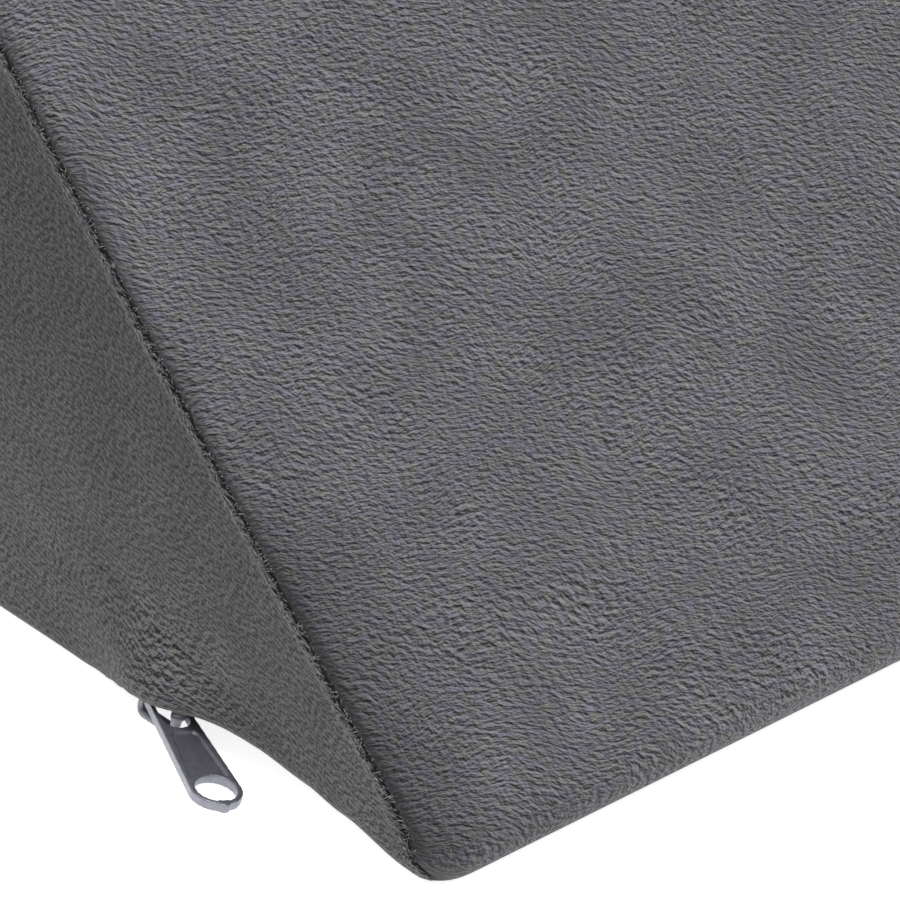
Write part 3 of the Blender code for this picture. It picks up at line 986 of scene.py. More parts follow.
@dataclass
class Cover:
    """The sewn cover over the foam wedge: a wrap and two side panels, with their seams.

    Fields without a unit that count along the cloth, such as the steps between the rows
    and the pitch of the puckers, are in millimetres.
    """

    form: WedgeForm
    valley_depth: float = 0.45 * MM
    valley_place: float = 0.3 * MM
    valley_side_reach: float = 0.45 * MM
    valley_wrap_reach: float = 1.2 * MM
    welt_height: float = 0.28 * MM
    welt_place: float = 0.8 * MM
    welt_reach: float = 0.6 * MM
    tuck: float = 4.3 * MM
    tuck_side_reach: float = 7 * MM
    tuck_wrap_reach: float = 18 * MM
    tuck_from: float = 0.05
    tuck_span: float = 0.9
    tucked_relief: float = 0.2
    floor_band: float = 1.5 * MM
    pucker_pitch: float = 4.3
    pucker_sway: float = 1.2
    pucker_sway_run: float = 9.0
    sag_run: float = 17.0
    sag_sway: float = 1.7
    sag_sway_run: float = 41.0
    pull_shares: tuple = (0.8, 0.25, 0.15)
    welt_shares: tuple = (1.2, 0.4)
    middle_gap: float = -100.0
    even_steps: int = 8
    even_pitch: float = 1 * MM
    side_steps: tuple = (
        0.16, 0.34, 0.55, 0.8, 1.1, 1.45, 1.85, 2.4, 3.2, 4.2, 5.4, 6.8, 8.4, 10.2,
    )
    side_shares: tuple = (0.15, 0.19, 0.24, 0.3, 0.38, 0.48, 0.6, 0.76, 0.9)
    wrap_steps: tuple = (
        0.0, 0.16, 0.34, 0.55, 0.8, 1.1, 1.45, 1.85, 2.3, 2.8, 3.35, 3.95, 4.6, 5.3, 6.2, 7.2, 8.2,
        9.3, 10.6, 12.2, 14.5, 17.5, 22, 28, 37, 50, 68, 91, 118, 148, 183,
    )

    def inward(self, span: float) -> float:
        """Turn a distance over the rounded edge into one inward from the side.

        Args:
            span: How far over the cloth the section lies.

        Returns:
            Its distance from its side.
        """
        radius = self.form.edge_round
        if span >= radius * math.pi / 2:
            return radius + span - radius * math.pi / 2
        return radius * (1 - math.cos(span / radius))

    def evened(self, reach: np.ndarray, runs: np.ndarray, girth: float) -> np.ndarray:
        """Return the side panel's half widths without their peaks at the outline's corners.

        Args:
            reach: The distance from each outline point's tangent to the panel's middle.
            runs: How far round the outline each point is.
            girth: The length of the outline.

        Returns:
            The least value near each point, smoothed along the outline.
        """
        places = np.arange(0.0, girth, self.even_pitch)
        values = np.interp(places, runs, reach, period=girth)
        steps = range(-self.even_steps, self.even_steps + 1)
        values = np.min([np.roll(values, step) for step in steps], axis=0)
        for _ in range(2):
            values = np.mean([np.roll(values, step) for step in steps], axis=0)
        return np.interp(runs, places, values, period=girth)

    def turned_down(self, normals: np.ndarray) -> np.ndarray:
        """Return how far the outline faces down, from 0 on the upright parts to 1."""
        return smooth_step((-normals[:, 1] - self.tuck_from) / self.tuck_span)

    def tucked(self, points: np.ndarray, gaps: np.ndarray, normals: np.ndarray) -> tuple:
        """Slide the rows over the edge, so that the underside's seam lies under the pillow.

        Args:
            points: One side's rows of points.
            gaps: The points' signed distances from the seam, rising row by row.
            normals: The outline's outward directions.

        Returns:
            The rows' new points on the same surface, and their distances over its edge.
        """
        shift = self.tuck * self.turned_down(normals)
        reach = np.where(gaps > 0, self.tuck_wrap_reach, self.tuck_side_reach)
        window = 1 - smooth_step(np.abs(gaps) / reach)
        wanted = gaps + shift[None, :] * window
        moved = points.copy()
        for column in np.nonzero(shift > 0)[0]:
            for axis in range(3):
                old = points[:, column, axis]
                moved[:, column, axis] = np.interp(wanted[:, column], gaps[:, column], old)
        return moved, wanted

    def half(
        self, outline: np.ndarray, normals: np.ndarray, runs: np.ndarray, girth: float, side: Side
    ) -> list:
        """Return the rows from one side panel's middle to the last section before the middle.

        Args:
            outline: The side view's points (back, height).
            normals: Their outward directions.
            runs: How far round the outline each of them is.
            girth: The length of the outline.
            side: The side that the rows start from.

        Returns:
            Lists of the rows' points, panels, spans, gaps and paths.
        """
        form, count = self.form, len(outline)
        seam_ring = form.section(outline, normals, 0.0, side)
        toward = (form.side_middle(side) - seam_ring)[:, 1:]
        reach = self.evened(np.abs((toward * normals).sum(axis=1)), runs, girth)
        shares = [np.full(count, share) for share in self.side_shares[::-1]]
        shares += [step * MM / reach for step in self.side_steps[::-1]]
        rows = [form.side_ring(seam_ring, share[:, None], side) for share in shares]
        gaps = [-share * reach for share in shares]
        panels, spans = [Panel.SIDE] * len(shares), [0.0] * len(shares)
        for step in self.wrap_steps:
            span = step * MM
            rows.append(form.section(outline, normals, self.inward(span), side))
            panels.append(Panel.WRAP)
            spans.append(span)
            gaps.append(np.full(count, span))
        moved, paths = self.tucked(np.array(rows), np.array(gaps), normals)
        return [list(moved), panels, spans, gaps, list(paths)]

    def grid(self) -> ClothGrid:
        """Lay out the cover's rows of points, before the seams are drawn in.

        Returns:
            The grid.
        """
        outline, runs = self.form.outline()
        ahead = np.roll(outline, -1, axis=0)
        along = ahead - np.roll(outline, 1, axis=0)
        normals = np.stack([along[:, 1], -along[:, 0]], axis=1)
        normals /= np.linalg.norm(normals, axis=1)[:, None]
        girth = runs[-1] + np.linalg.norm(outline[0] - outline[-1])
        radius = self.form.edge_round
        full_span = self.form.width - 2 * radius + math.pi * radius
        zip_half, plain_half = (self.half(outline, normals, runs, girth, side) for side in Side)
        middle = self.form.section(outline, normals, self.form.width / 2, Side.PLAIN)
        middle_gaps = np.full(len(outline), full_span / 2)
        centre = ([middle], [Panel.WRAP], [full_span / 2], [middle_gaps], [middle_gaps])
        plain_half[2] = [full_span - span for span in plain_half[2]]
        points, panels, spans, gaps, paths = (
            first + between + last[::-1] for first, between, last in zip(zip_half, centre, plain_half)
        )
        return ClothGrid(
            points=np.array(points),
            panels=panels,
            spans=np.array(spans),
            gaps=np.array(gaps),
            paths=np.array(paths),
            runs=runs,
            girth=girth,
            normals=normals,
            tucked=self.turned_down(normals),
        )

    def outward(self, points: np.ndarray) -> np.ndarray:
        """Find the outward direction at each point of the grid.

        Args:
            points: The rows of points.

        Returns:
            A direction of length 1 for each point.
        """
        around = np.roll(points, -1, axis=1) - np.roll(points, 1, axis=1)
        over = np.gradient(points, axis=0)
        normals = np.cross(around, over)
        lengths = np.linalg.norm(normals, axis=2)[:, :, None]
        normals = normals / np.maximum(lengths, TINY)
        middle = points.mean(axis=(0, 1))
        facing = ((points - middle) * normals).sum()
        return normals if facing > 0 else -normals

    def sew(self, grid: ClothGrid) -> None:
        """Draw the cloth in at the seams, and raise the side panels' welt beside them.

        Args:
            grid: The grid, whose points are moved.
        """
        runs = grid.runs / MM
        on_wrap = grid.gaps > 0
        sway = self.pucker_sway * np.sin(runs / self.pucker_sway_run)
        beat = waver(runs * 2 * math.pi / self.pucker_pitch + sway)
        slow = waver(runs / self.sag_run + self.sag_sway * np.sin(runs / self.sag_sway_run))
        even, at_beat, at_sag = self.pull_shares
        pull = (even + at_beat * beat + at_sag * slow)[None, :]
        reach = np.where(on_wrap, self.valley_wrap_reach, self.valley_side_reach)
        relief = -self.valley_depth * hump(grid.gaps - self.valley_place, reach) * pull
        high, drop = self.welt_shares
        welt = hump(np.abs(grid.gaps) - self.welt_place, self.welt_reach)
        welt = self.welt_height * welt * (high - drop * beat)[None, :]
        relief += np.where(on_wrap, 0.0, welt)
        relief *= 1 - (1 - self.tucked_relief) * grid.tucked[None, :]
        low = grid.points[:, :, 2] < self.floor_band
        relief = np.where(low & (relief > 0), 0.0, relief)
        grid.points = grid.points + self.outward(grid.points) * relief[:, :, None]
        grid.points[:, :, 2] = np.maximum(grid.points[:, :, 2], 0.0)

    def faces(self, rows: int, count: int) -> list:
        """Join the rows with quads, and fill each side's middle with a fan.

        Args:
            rows: The number of rows.
            count: The number of points in a row.

        Returns:
            Tuples of vertex numbers.
        """
        quads = []
        for row in range(rows - 1):
            start, above = row * count, (row + 1) * count
            for column in range(count):
                after = (column + 1) % count
                quads.append((start + column, start + after, above + after, above + column))
        first, last = rows * count, rows * count + 1
        start = (rows - 1) * count
        for column in range(count):
            after = (column + 1) % count
            quads.append((first, after, column))
            quads.append((last, start + column, start + after))
        return quads

    def build(self) -> tuple[bpy.types.Object, ClothGrid]:
        """Build the cover's mesh with its cloth and seam coordinates.

        Returns:
            The cover and its grid.
        """
        grid = self.grid()
        self.sew(grid)
        rows, count = grid.points.shape[:2]
        tips = []
        for side in Side:
            bulge = np.array([side.value * self.form.side_bulge, 0, 0])
            tips.append(self.form.side_middle(side) + bulge)
        everything = np.concatenate([grid.points.reshape(-1, 3), np.array(tips)])
        item = mesh_object("velour_cover", everything, self.faces(rows, count))
        self.add_coordinates(item, grid)
        face_outward(item)
        bpy.ops.object.shade_smooth()
        LOG.info("cover: %d rows of %d points", rows, count)
        return item, grid

    def unrolled(self, grid: ClothGrid) -> np.ndarray:
        """Return the side panels' cloth coordinates: flat, and unrolled where they turn in.

        Args:
            grid: The grid of the cover.

        Returns:
            Two coordinates (Y and Z on the flat part) for every point of the grid.
        """
        points, out = grid.points, grid.normals
        tangent = np.stack([-out[:, 1], out[:, 0]], axis=1)
        cloth = points[:, :, 1:].copy()
        flat_rows = len(self.side_shares)
        for backwards in (False, True):
            order = points[::-1] if backwards else points
            target = cloth[::-1] if backwards else cloth
            paths = grid.paths[::-1] if backwards else grid.paths
            for row in range(flat_rows, flat_rows + len(self.side_steps) + 1):
                step = order[row] - order[row - 1]
                along = (step[:, 1:] * tangent).sum(axis=1)
                across = np.hypot(step[:, 0], (step[:, 1:] * out).sum(axis=1))
                turned_in = target[row - 1] + tangent * along[:, None] + out * across[:, None]
                target[row] = np.where(paths[row][:, None] > 0, turned_in, order[row][:, 1:])
        return cloth

    def add_coordinates(self, item: bpy.types.Object, grid: ClothGrid) -> None:
        """Give the cover its cloth map in metres, its seam distances and its panels.

        Args:
            item: The cover.
            grid: Its grid.
        """
        mesh = item.data
        rows, count = grid.points.shape[:2]
        runs = np.append(grid.runs, grid.girth)
        layer = mesh.uv_layers.new(name="cloth")
        panel_numbers = np.zeros(len(mesh.polygons), dtype=np.int32)
        starts = np.zeros(len(mesh.polygons), dtype=np.int32)
        mesh.polygons.foreach_get("loop_start", starts)
        corners = np.zeros(len(mesh.loops), dtype=np.int32)
        mesh.loops.foreach_get("vertex_index", corners)
        places = np.zeros(len(mesh.vertices) * 3)
        mesh.vertices.foreach_get("co", places)
        places = places.reshape(-1, 3)
        quads = (rows - 1) * count
        row_of = np.arange(quads) // count
        wrap_row = np.array([panel is Panel.WRAP for panel in grid.panels])
        wrap_quad = wrap_row[row_of] & wrap_row[row_of + 1]
        panel_numbers[:quads] = np.where(wrap_quad, Panel.WRAP.value, Panel.SIDE.value)
        panel_numbers[quads:] = Panel.SIDE.value
        flat = places[:, 1:].copy()
        flat[: rows * count] = self.unrolled(grid).reshape(-1, 2)
        spots = flat[corners]
        for quad in np.nonzero(wrap_quad)[0]:
            column = quad % count
            for corner in range(4):
                loop = starts[quad] + corner
                row = corners[loop] // count
                step = column if corners[loop] % count == column else column + 1
                spots[loop] = (grid.spans[row], grid.girth - runs[step])
        layer.data.foreach_set("uv", spots.ravel())
        seam = mesh.attributes.new("seam", "FLOAT_VECTOR", "POINT")
        values = np.zeros((len(mesh.vertices), 3))
        values[: rows * count, 0] = np.tile(grid.runs / MM, rows)
        values[: rows * count, 1] = grid.gaps.ravel() / MM
        values[rows * count :, 1] = self.middle_gap
        seam.data.foreach_set("vector", values.ravel())
        mesh.polygons.foreach_set("material_index", panel_numbers)

    def dress(self, item: bpy.types.Object) -> None:
        """Give the wrap and the side panels their velour.

        Args:
            item: The cover.
        """
        wrap = VelourFinish(
            name="velour wrap",
            nap_turn=math.radians(-20),
            tuft_length=1.2,
            tuft_width=0.67,
            overlap=0.42,
            contrast=1.3,
            fineness=1.05,
            dark=(0.006, 0.006, 0.0065),
            light=(0.158, 0.156, 0.17),
            cloud_low=0.88,
            cloud_high=1.1,
            cloud_size=16.0,
            sway=9.0,
            flutter=0.7,
            relief=0.35,
            # Painted shade in the crease, beside the seam, near the toe and just above the floor.
            crease_reach=1.9,
            crease_painted_shade=0.12,
            edge_reach=4.6,
            edge_painted_light=0.55,
            toe_painted_shade=0.58,
            rim_painted_shade=0.5,
        )
        panel = VelourFinish(
            name="velour side",
            nap_turn=math.radians(20),
            tuft_length=1.15,
            tuft_width=0.7,
            overlap=0.42,
            contrast=3.5,
            fineness=0.8,
            # The side panels' colours are darker than the wrap's: painted shade, as the sides face
            # away from the light.
            dark=(0.003, 0.003, 0.003),
            light=(0.0645, 0.0645, 0.0655),
            cloud_low=0.85,
            cloud_high=1.17,
            cloud_size=9.0,
            sway=4.0,
            flutter=0.5,
            relief=0.3,
            # Painted shade in the crease and toward the top; painted light beside the seam, at the
            # foot and over the slider's bulge.
            crease_reach=0.6,
            crease_painted_shade=0.15,
            edge_reach=2.6,
            edge_painted_light=1.45,
            foot_painted_light=1.22,
            top_painted_shade=0.66,
            top_height=70.0,
            press_painted_light=1.6,
        )
        item.data.materials.append(wrap.make())
        item.data.materials.append(panel.make())


@dataclass
class ZipGroove:
    """The channel under the zip side's edge where the zip runs, with the slider's pocket."""

    form: WedgeForm
    half_width: float = 3.15 * MM
    ceiling: float = 7.35 * MM
    below: float = -2.0 * MM
    middle: float = 6.6 * MM
    slider_inward: float = 1.9 * MM
    swerve_reach: float = 14 * MM
    back_end: float = 555.35 * MM
    near_end: float = 110 * MM
    near_step: float = 2.5 * MM
    far_start: float = 112 * MM
    far_rings: int = 12
    pocket: tuple = ((-2.25 * MM, 62.05 * MM, -2.0 * MM), (5.05 * MM, 71.75 * MM, 8.45 * MM))

    def box(self, name: str, rings: list) -> bpy.types.Object:
        """Build a closed tube of four-sided rings.

        Args:
            name: The object's name.
            rings: Lists of four corners (inward, back, height).

        Returns:
            The tube.
        """
        points = np.array([point for ring in rings for point in ring])
        points -= np.array([self.form.width / 2, self.form.length / 2, 0.0])
        faces = [(3, 2, 1, 0)]
        for start in range(0, len(points) - 4, 4):
            for side in range(4):
                after = (side + 1) % 4
                faces.append((start + side, start + after, start + 4 + after, start + 4 + side))
        last = len(points) - 4
        faces.append((last, last + 1, last + 2, last + 3))
        item = mesh_object(name, points, faces)
        face_outward(item)
        return item

    def ring(self, left: float, right: float, back: float, low: float, high: float) -> list:
        """Return the four corners of an upright rectangle across the zip."""
        return [(left, back, low), (right, back, low), (right, back, high), (left, back, high)]

    def channel(self) -> bpy.types.Object:
        """Build the cutter that follows the zip from its slider to its far end.

        Returns:
            The cutter.
        """
        places = list(np.arange(self.form.slider_back, self.near_end, self.near_step))
        places += list(np.linspace(self.far_start, self.back_end, self.far_rings))
        rings = []
        for back in places:
            swerve = hump(back - self.form.slider_back, self.swerve_reach)
            middle = self.middle + (self.slider_inward - self.middle) * swerve
            left, right = middle - self.half_width, middle + self.half_width
            rings.append(self.ring(left, right, back, self.below, self.ceiling))
        return self.box("zip_channel", rings)

    def slider_pocket(self) -> bpy.types.Object:
        """Build the cutter for the slider's pocket.

        Returns:
            The cutter.
        """
        (left, front, low), (right, rear, high) = self.pocket
        rings = [self.ring(left, right, back, low, high) for back in (front, rear)]
        return self.box("slider_pocket", rings)

    def cut(self, pillow: bpy.types.Object) -> None:
        """Cut the channel and the pocket out of the cover.

        Args:
            pillow: The cover.
        """
        for cutter in (self.channel(), self.slider_pocket()):
            step = pillow.modifiers.new(cutter.name, "BOOLEAN")
            step.operation = "DIFFERENCE"
            step.solver = "MANIFOLD"
            step.object = cutter
            apply_modifiers(pillow)
            bpy.data.objects.remove(cutter)
        LOG.info("cover with its zip channel: %d faces", len(pillow.data.polygons))


@dataclass
class FoamSwell:
    """The cloth's swell over the foam, from a simulation of a coarse copy of the cover."""

    voxel: float = 8 * MM
    pressure: float = 2.0
    stiffness: float = 40.0
    bending: float = 2.0
    frames: int = 20
    cap: float = 2.4 * MM
    held_reach: float = 7 * MM
    held_height: float = 5 * MM
    free_reach: float = 16 * MM
    neighbours: int = 6
    nearness: float = 1 * MM

    def coarse(self, pillow: bpy.types.Object) -> bpy.types.Object:
        """Make an evenly meshed coarse copy of the cover.

        Args:
            pillow: The cover.

        Returns:
            The copy.
        """
        item = bpy.data.objects.new("foam_swell", pillow.data.copy())
        bpy.context.scene.collection.objects.link(item)
        remesh = item.modifiers.new("remesh", "REMESH")
        remesh.mode = "VOXEL"
        remesh.voxel_size = self.voxel
        apply_modifiers(item)
        return item

    def moves(self, pillow: bpy.types.Object, seams: np.ndarray) -> tuple:
        """Return the coarse copy's points, and how far the pressure moves each of them.

        Args:
            pillow: The cover.
            seams: Points along the seams, which stay where they are.

        Returns:
            The points and their moves.
        """
        item = self.coarse(pillow)
        count = len(item.data.vertices)
        before = np.zeros(count * 3)
        item.data.vertices.foreach_get("co", before)
        before = before.reshape(-1, 3)
        tree = point_tree(seams)
        near_seam = [tree.find(point)[2] < self.held_reach for point in before]
        held = np.nonzero((before[:, 2] < self.held_height) | near_seam)[0].tolist()
        item.vertex_groups.new(name="held").add(held, 1.0, "REPLACE")
        cloth = item.modifiers.new("cloth", "CLOTH")
        settings = cloth.settings
        settings.vertex_group_mass = "held"
        settings.use_pressure = True
        settings.uniform_pressure_force = self.pressure
        settings.effector_weights.gravity = 0.0
        settings.tension_stiffness = self.stiffness
        settings.compression_stiffness = self.stiffness
        settings.shear_stiffness = self.stiffness / 2
        settings.bending_stiffness = self.bending
        for number in range(1, self.frames + 1):
            bpy.context.scene.frame_set(number)
        solved = item.evaluated_get(bpy.context.evaluated_depsgraph_get()).data
        after = np.zeros(count * 3)
        solved.vertices.foreach_get("co", after)
        bpy.context.scene.frame_set(1)
        moved = after.reshape(-1, 3) - before
        bpy.data.objects.remove(item)
        largest = np.linalg.norm(moved, axis=1).max() / MM
        LOG.info("cloth: %d points, largest move %.1f mm", count, largest)
        return before, moved

    def settle(self, pillow: bpy.types.Object, grid: ClothGrid) -> None:
        """Simulate the cloth and lay its capped moves over the cover's free areas.

        Args:
            pillow: The cover, whose points are still in the grid's order.
            grid: Its grid.
        """
        seams = np.concatenate([grid.points[row] for row in grid.seam_rows()])
        before, moved = self.moves(pillow, seams)
        lengths = np.linalg.norm(moved, axis=1)[:, None]
        moved = moved * self.cap / (self.cap + lengths)
        tree = point_tree(before)
        side_middle_gaps = (1.0, 1.0)
        gaps = np.append(np.abs(grid.gaps).ravel(), side_middle_gaps)
        for vertex, gap in zip(pillow.data.vertices, gaps):
            share = smooth_step((gap - self.held_reach) / self.free_reach)
            share *= smooth_step((vertex.co.z - self.held_height) / self.free_reach)
            if share <= 0:
                continue
            near = tree.find_n(vertex.co, self.neighbours)
            weights = np.array([1 / (distance + self.nearness) ** 2 for _, _, distance in near])
            step = (moved[[number for _, number, _ in near]] * weights[:, None]).sum(axis=0)
            vertex.co += Vector(step / weights.sum() * share)


@dataclass
class SeamHairs:
    """Tufts of pile that stand over the two side seams, where the cloth turns in."""

    cover: Cover
    pitch: float = 0.07 * MM
    side_reach: float = 1.3 * MM
    wrap_reach: float = 1.0 * MM
    wrap_part: float = 0.22
    shortest: float = 0.35 * MM
    longest: float = 1.7 * MM
    root_radius: float = 0.085 * MM
    floor_clearance: float = 4.0 * MM
    sunk: float = 0.1 * MM
    side_nap: tuple = (0.0, -0.95, -0.3)
    reach_power: float = 0.8
    tucked_from: float = 0.2
    most_rows: int = 10
    over_rows: int = 4
    over_share: float = 0.45
    wrap_over: float = -0.5
    upright: float = 0.2
    scatter: float = 0.2
    length_power: float = 1.6
    least_radius: float = 0.6
    radius_spread: float = 0.8

    def roots(self, grid: ClothGrid, chooser: np.random.Generator) -> tuple:
        """Find where the tufts grow.

        Args:
            grid: The grid of the cover, with its seams drawn in.
            chooser: The source of random numbers.

        Returns:
            The roots' points, the outward directions there, the directions over the edge
            and whether each root is on a side panel.
        """
        points, gaps = grid.points, grid.gaps
        outward = self.cover.outward(points)
        count = points.shape[1]
        seam_rows = grid.seam_rows()
        spots, normals, over, on_side, shown = [], [], [], [], []
        for seam_row in seam_rows:
            first = seam_row == seam_rows[0]
            number = int(grid.girth / self.pitch)
            runs = (np.arange(number) + chooser.random(number)) * self.pitch
            columns = np.interp(runs, np.append(grid.runs, grid.girth), np.arange(count + 1))
            column = np.floor(columns).astype(int) % count
            part = (columns - np.floor(columns))[:, None]
            wrap = chooser.random(number) < self.wrap_part
            reach = np.where(wrap, self.wrap_reach, self.side_reach)
            wanted = reach * chooser.random(number) ** self.reach_power
            toward_side = -1 if first else 1
            step = np.where(wrap, -toward_side, toward_side)
            near = np.full(number, seam_row)
            for _ in range(self.most_rows):
                following = near + step
                further = np.abs(gaps[following, column]) < wanted
                near = np.where(further, following, near)
            after = near + step
            low = np.abs(gaps[near, column])
            high = np.abs(gaps[after, column])
            share = ((wanted - low) / np.maximum(high - low, EXACT))[:, None]
            ahead = (column + 1) % count
            for source, target in ((points, spots), (outward, normals)):
                inner = source[near, column] * (1 - part) + source[near, ahead] * part
                outer = source[after, column] * (1 - part) + source[after, ahead] * part
                target.append(inner * (1 - share) + outer * share)
            edge_way = outward[seam_row - toward_side * self.over_rows, column]
            edge_way = edge_way * np.array([0.0, 1.0, 1.0])
            over.append(np.where(wrap[:, None], self.wrap_over * edge_way, edge_way))
            on_side.append(~wrap)
            shown.append(grid.tucked[column] <= self.tucked_from)
        shown = np.concatenate(shown)
        return tuple(np.concatenate(values)[shown] for values in (spots, normals, over, on_side))

    def build(self, grid: ClothGrid) -> bpy.types.Object:
        """Build every tuft as a thin closed spike.

        Args:
            grid: The grid of the cover, with its seams drawn in.

        Returns:
            The tufts as one object.
        """
        chooser = np.random.default_rng(SEED)
        spots, normals, over, on_side = self.roots(grid, chooser)
        number = len(spots)
        ways = np.where(on_side[:, None], np.array(self.side_nap), 0.0)
        ways = ways + self.over_share * over + self.upright * normals
        ways = ways + self.scatter * chooser.normal(size=(number, 3))
        ways /= np.linalg.norm(ways, axis=1)[:, None]
        spread = chooser.random(number) ** self.length_power
        lengths = self.shortest + (self.longest - self.shortest) * spread
        radii = self.root_radius * (self.least_radius + self.radius_spread * chooser.random(number))
        first = np.cross(ways, normals + OFF_AXIS)
        first /= np.linalg.norm(first, axis=1)[:, None]
        second = np.cross(ways, first)
        corners = []
        for step in range(3):
            angle = 2 * math.pi * step / 3
            ring = math.cos(angle) * first + math.sin(angle) * second
            corners.append(spots - normals * self.sunk + ring * radii[:, None])
        tips = spots + ways * lengths[:, None]
        points = np.stack(corners + [tips], axis=1)
        standing = points[:, :, 2].min(axis=1) > self.floor_clearance
        points = points[standing].reshape(-1, 3)
        faces = []
        for start in range(0, len(points), 4):
            root = (start, start + 2, start + 1)
            sides = [(start + a, start + b, start + 3) for a, b in ((0, 1), (1, 2), (2, 0))]
            faces += [root] + sides
        item = mesh_object("seam_hairs", points, faces)
        item.data.materials.append(BristleFinish().make())
        LOG.info("seam hairs: %d tufts", len(points) // 4)
        return item


@dataclass
class ZipHardware:
    """The die-cast slider and pull: the frame's solids with their edges melted round."""

    form: WedgeForm
    nose: tuple = (0.2 * MM, 63.1 * MM, 3.3 * MM)
    nose_size: tuple = (1.45 * MM, 1.0 * MM, 1.15 * MM)
    nose_segments: int = 32
    nose_rings: int = 16
    merge: float = 0.01 * MM
    voxel: float = 0.15 * MM
    smoothing: int = 6

    def add_nose(self, slider: bpy.types.Object) -> None:
        """Thicken the front of the slider's bail to its round nose, seen in the pull's hole.

        Args:
            slider: The slider.
        """
        deselect_all()
        halves = (self.form.width / 2, self.form.length / 2, 0.0)
        place = [value - half for value, half in zip(self.nose, halves)]
        bpy.ops.mesh.primitive_uv_sphere_add(
            segments=self.nose_segments, ring_count=self.nose_rings, radius=1.0, location=place
        )
        nose = bpy.context.object
        nose.scale = self.nose_size
        bpy.ops.object.transform_apply(location=True, rotation=True, scale=True)
        slider.select_set(True)
        bpy.context.view_layer.objects.active = slider
        bpy.ops.object.join()

    def soften(self, node: str, name: str) -> bpy.types.Object:
        """Copy a CAD node, remesh it finely and round its edges like a casting.

        Args:
            node: The CAD node's name.
            name: The new piece's name.

        Returns:
            The new piece.
        """
        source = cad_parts[node]
        item = bpy.data.objects.new(name, source.data.copy())
        bpy.context.scene.collection.objects.link(item)
        if node == "zip_slider":
            self.add_nose(item)
        make_active(item)
        item.data.materials.clear()
        bpy.ops.object.mode_set(mode="EDIT")
        bpy.ops.mesh.select_all(action="SELECT")
        bpy.ops.mesh.remove_doubles(threshold=self.merge)
        bpy.ops.object.mode_set(mode="OBJECT")
        remesh = item.modifiers.new("cast", "REMESH")
        remesh.mode = "VOXEL"
        remesh.voxel_size = self.voxel
        smooth = item.modifiers.new("round", "SMOOTH")
        smooth.factor = 0.5
        smooth.iterations = self.smoothing
        apply_modifiers(item)
        bpy.ops.object.shade_smooth()
        LOG.info("%s: %d faces", name, len(item.data.polygons))
        return item

    def build(self) -> None:
        """Make the slider and the pull and put them in the frame."""
        finish = CastMetalFinish().make()
        for node, name in (("zip_slider", "cast_slider"), ("zip_pull", "cast_pull")):
            item = self.soften(node, name)
            item.data.materials.append(finish)
            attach(item, BODY)
            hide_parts(node)


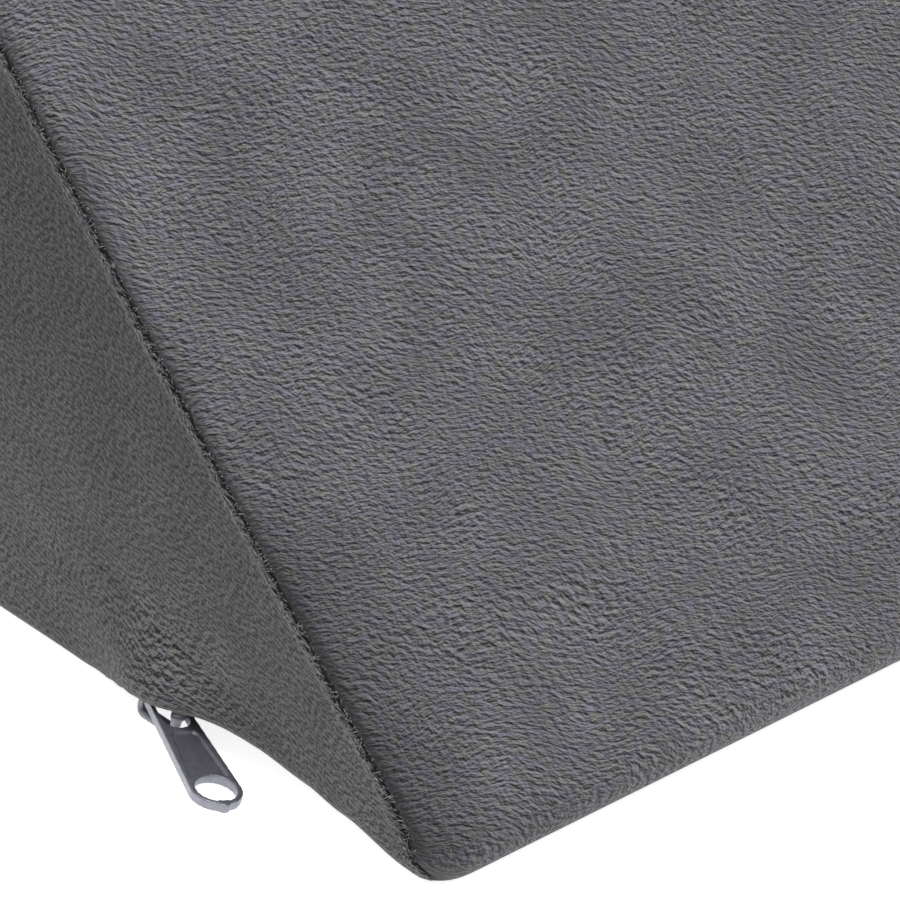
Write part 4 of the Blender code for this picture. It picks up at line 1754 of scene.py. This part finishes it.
@dataclass
class Studio:
    """White floor, soft light from all round, and the long-lens camera on the toe corner.

    The camera's angles and lens were fitted to the photograph. The point on the floor under
    the corner lies a little left of the picture's middle and just below its lower edge.
    """

    azimuth: float = math.radians(-40.9644)
    elevation: float = math.radians(35.0077)
    distance: float = 1.2
    focal_pixels: float = 8579.65
    picture_pixels: float = 900.0
    sensor: float = 36.0
    corner_back: float = 6 * MM
    corner_pixel: tuple = (438.3, 906.39)
    world_strength: float = 0.75
    key_power: float = 95.0
    key_size: float = 2.4
    key_place: tuple = (-0.1, -0.9, 2.8)
    floor_size: float = 8.0
    floor_drop: float = 0.2 * MM
    nearest_seen: float = 0.01

    def build(self, form: WedgeForm) -> None:
        """Make the floor, the lights and the camera.

        Args:
            form: The pillow's form.
        """
        self.lay_floor()
        self.light()
        self.aim(form)

    def lay_floor(self) -> None:
        """Lay a wide plain floor just under the pillow."""
        deselect_all()
        place = (0.0, 0.0, -self.floor_drop)
        bpy.ops.mesh.primitive_plane_add(size=self.floor_size, location=place)
        floor = bpy.context.object
        floor.name = "floor"
        bpy.ops.object.transform_apply(location=True, rotation=True, scale=True)
        floor.data.materials.append(FloorFinish().make())

    def light(self) -> None:
        """Set the bright white surroundings and one large soft light."""
        world = bpy.data.worlds.new("white studio")
        world.use_nodes = True
        backdrop = world.node_tree.nodes["Background"]
        backdrop.inputs["Color"].default_value = (1.0, 1.0, 1.0, 1.0)
        backdrop.inputs["Strength"].default_value = self.world_strength
        bpy.context.scene.world = world
        lamp = bpy.data.lights.new("key", "AREA")
        lamp.energy = self.key_power
        lamp.size = self.key_size
        key = bpy.data.objects.new("key", lamp)
        key.location = self.key_place
        key.rotation_euler = (-Vector(self.key_place)).to_track_quat("-Z", "Y").to_euler()
        bpy.context.scene.collection.objects.link(key)
        bpy.context.scene.view_settings.view_transform = "Standard"

    def aim(self, form: WedgeForm) -> None:
        """Place the camera, and turn it so that the corner falls on its pixel.

        Args:
            form: The pillow's form.
        """
        flat = math.cos(self.elevation)
        sine, cosine = math.sin(self.azimuth), math.cos(self.azimuth)
        toward = Vector((sine * flat, -cosine * flat, math.sin(self.elevation)))
        right = Vector((cosine, sine, 0.0))
        up = toward.cross(right)
        corner = Vector((-form.width / 2, self.corner_back - form.length / 2, 0.0))
        half = self.picture_pixels / 2
        step = self.distance / self.focal_pixels
        seen = corner + right * (half - self.corner_pixel[0]) * step
        seen += up * (self.corner_pixel[1] - half) * step
        camera_data = bpy.data.cameras.new("camera")
        camera_data.sensor_width = self.sensor
        camera_data.lens = self.focal_pixels / self.picture_pixels * self.sensor
        camera_data.clip_start = self.nearest_seen
        camera = bpy.data.objects.new("camera", camera_data)
        camera.location = corner + toward * self.distance
        camera.rotation_euler = (seen - camera.location).to_track_quat("-Z", "Y").to_euler()
        bpy.context.scene.collection.objects.link(camera)
        bpy.context.scene.camera = camera


def main() -> None:
    """Build the dressed pillow, the zip and the studio."""
    logging.basicConfig(level=logging.INFO, format="%(name)s: %(message)s")
    form = WedgeForm()
    Studio().build(form)
    cover = Cover(form)
    pillow, grid = cover.build()
    cover.dress(pillow)
    FoamSwell().settle(pillow, grid)
    ZipGroove(form).cut(pillow)
    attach(pillow, BODY)
    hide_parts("pillow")
    hairs = SeamHairs(cover).build(grid)
    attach(hairs, BODY)
    ZipHardware(form).build()
    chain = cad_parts["zip_chain"].data
    chain.materials.clear()
    chain.materials.append(ZipTapeFinish().make())


if __name__ == "__main__":
    main()
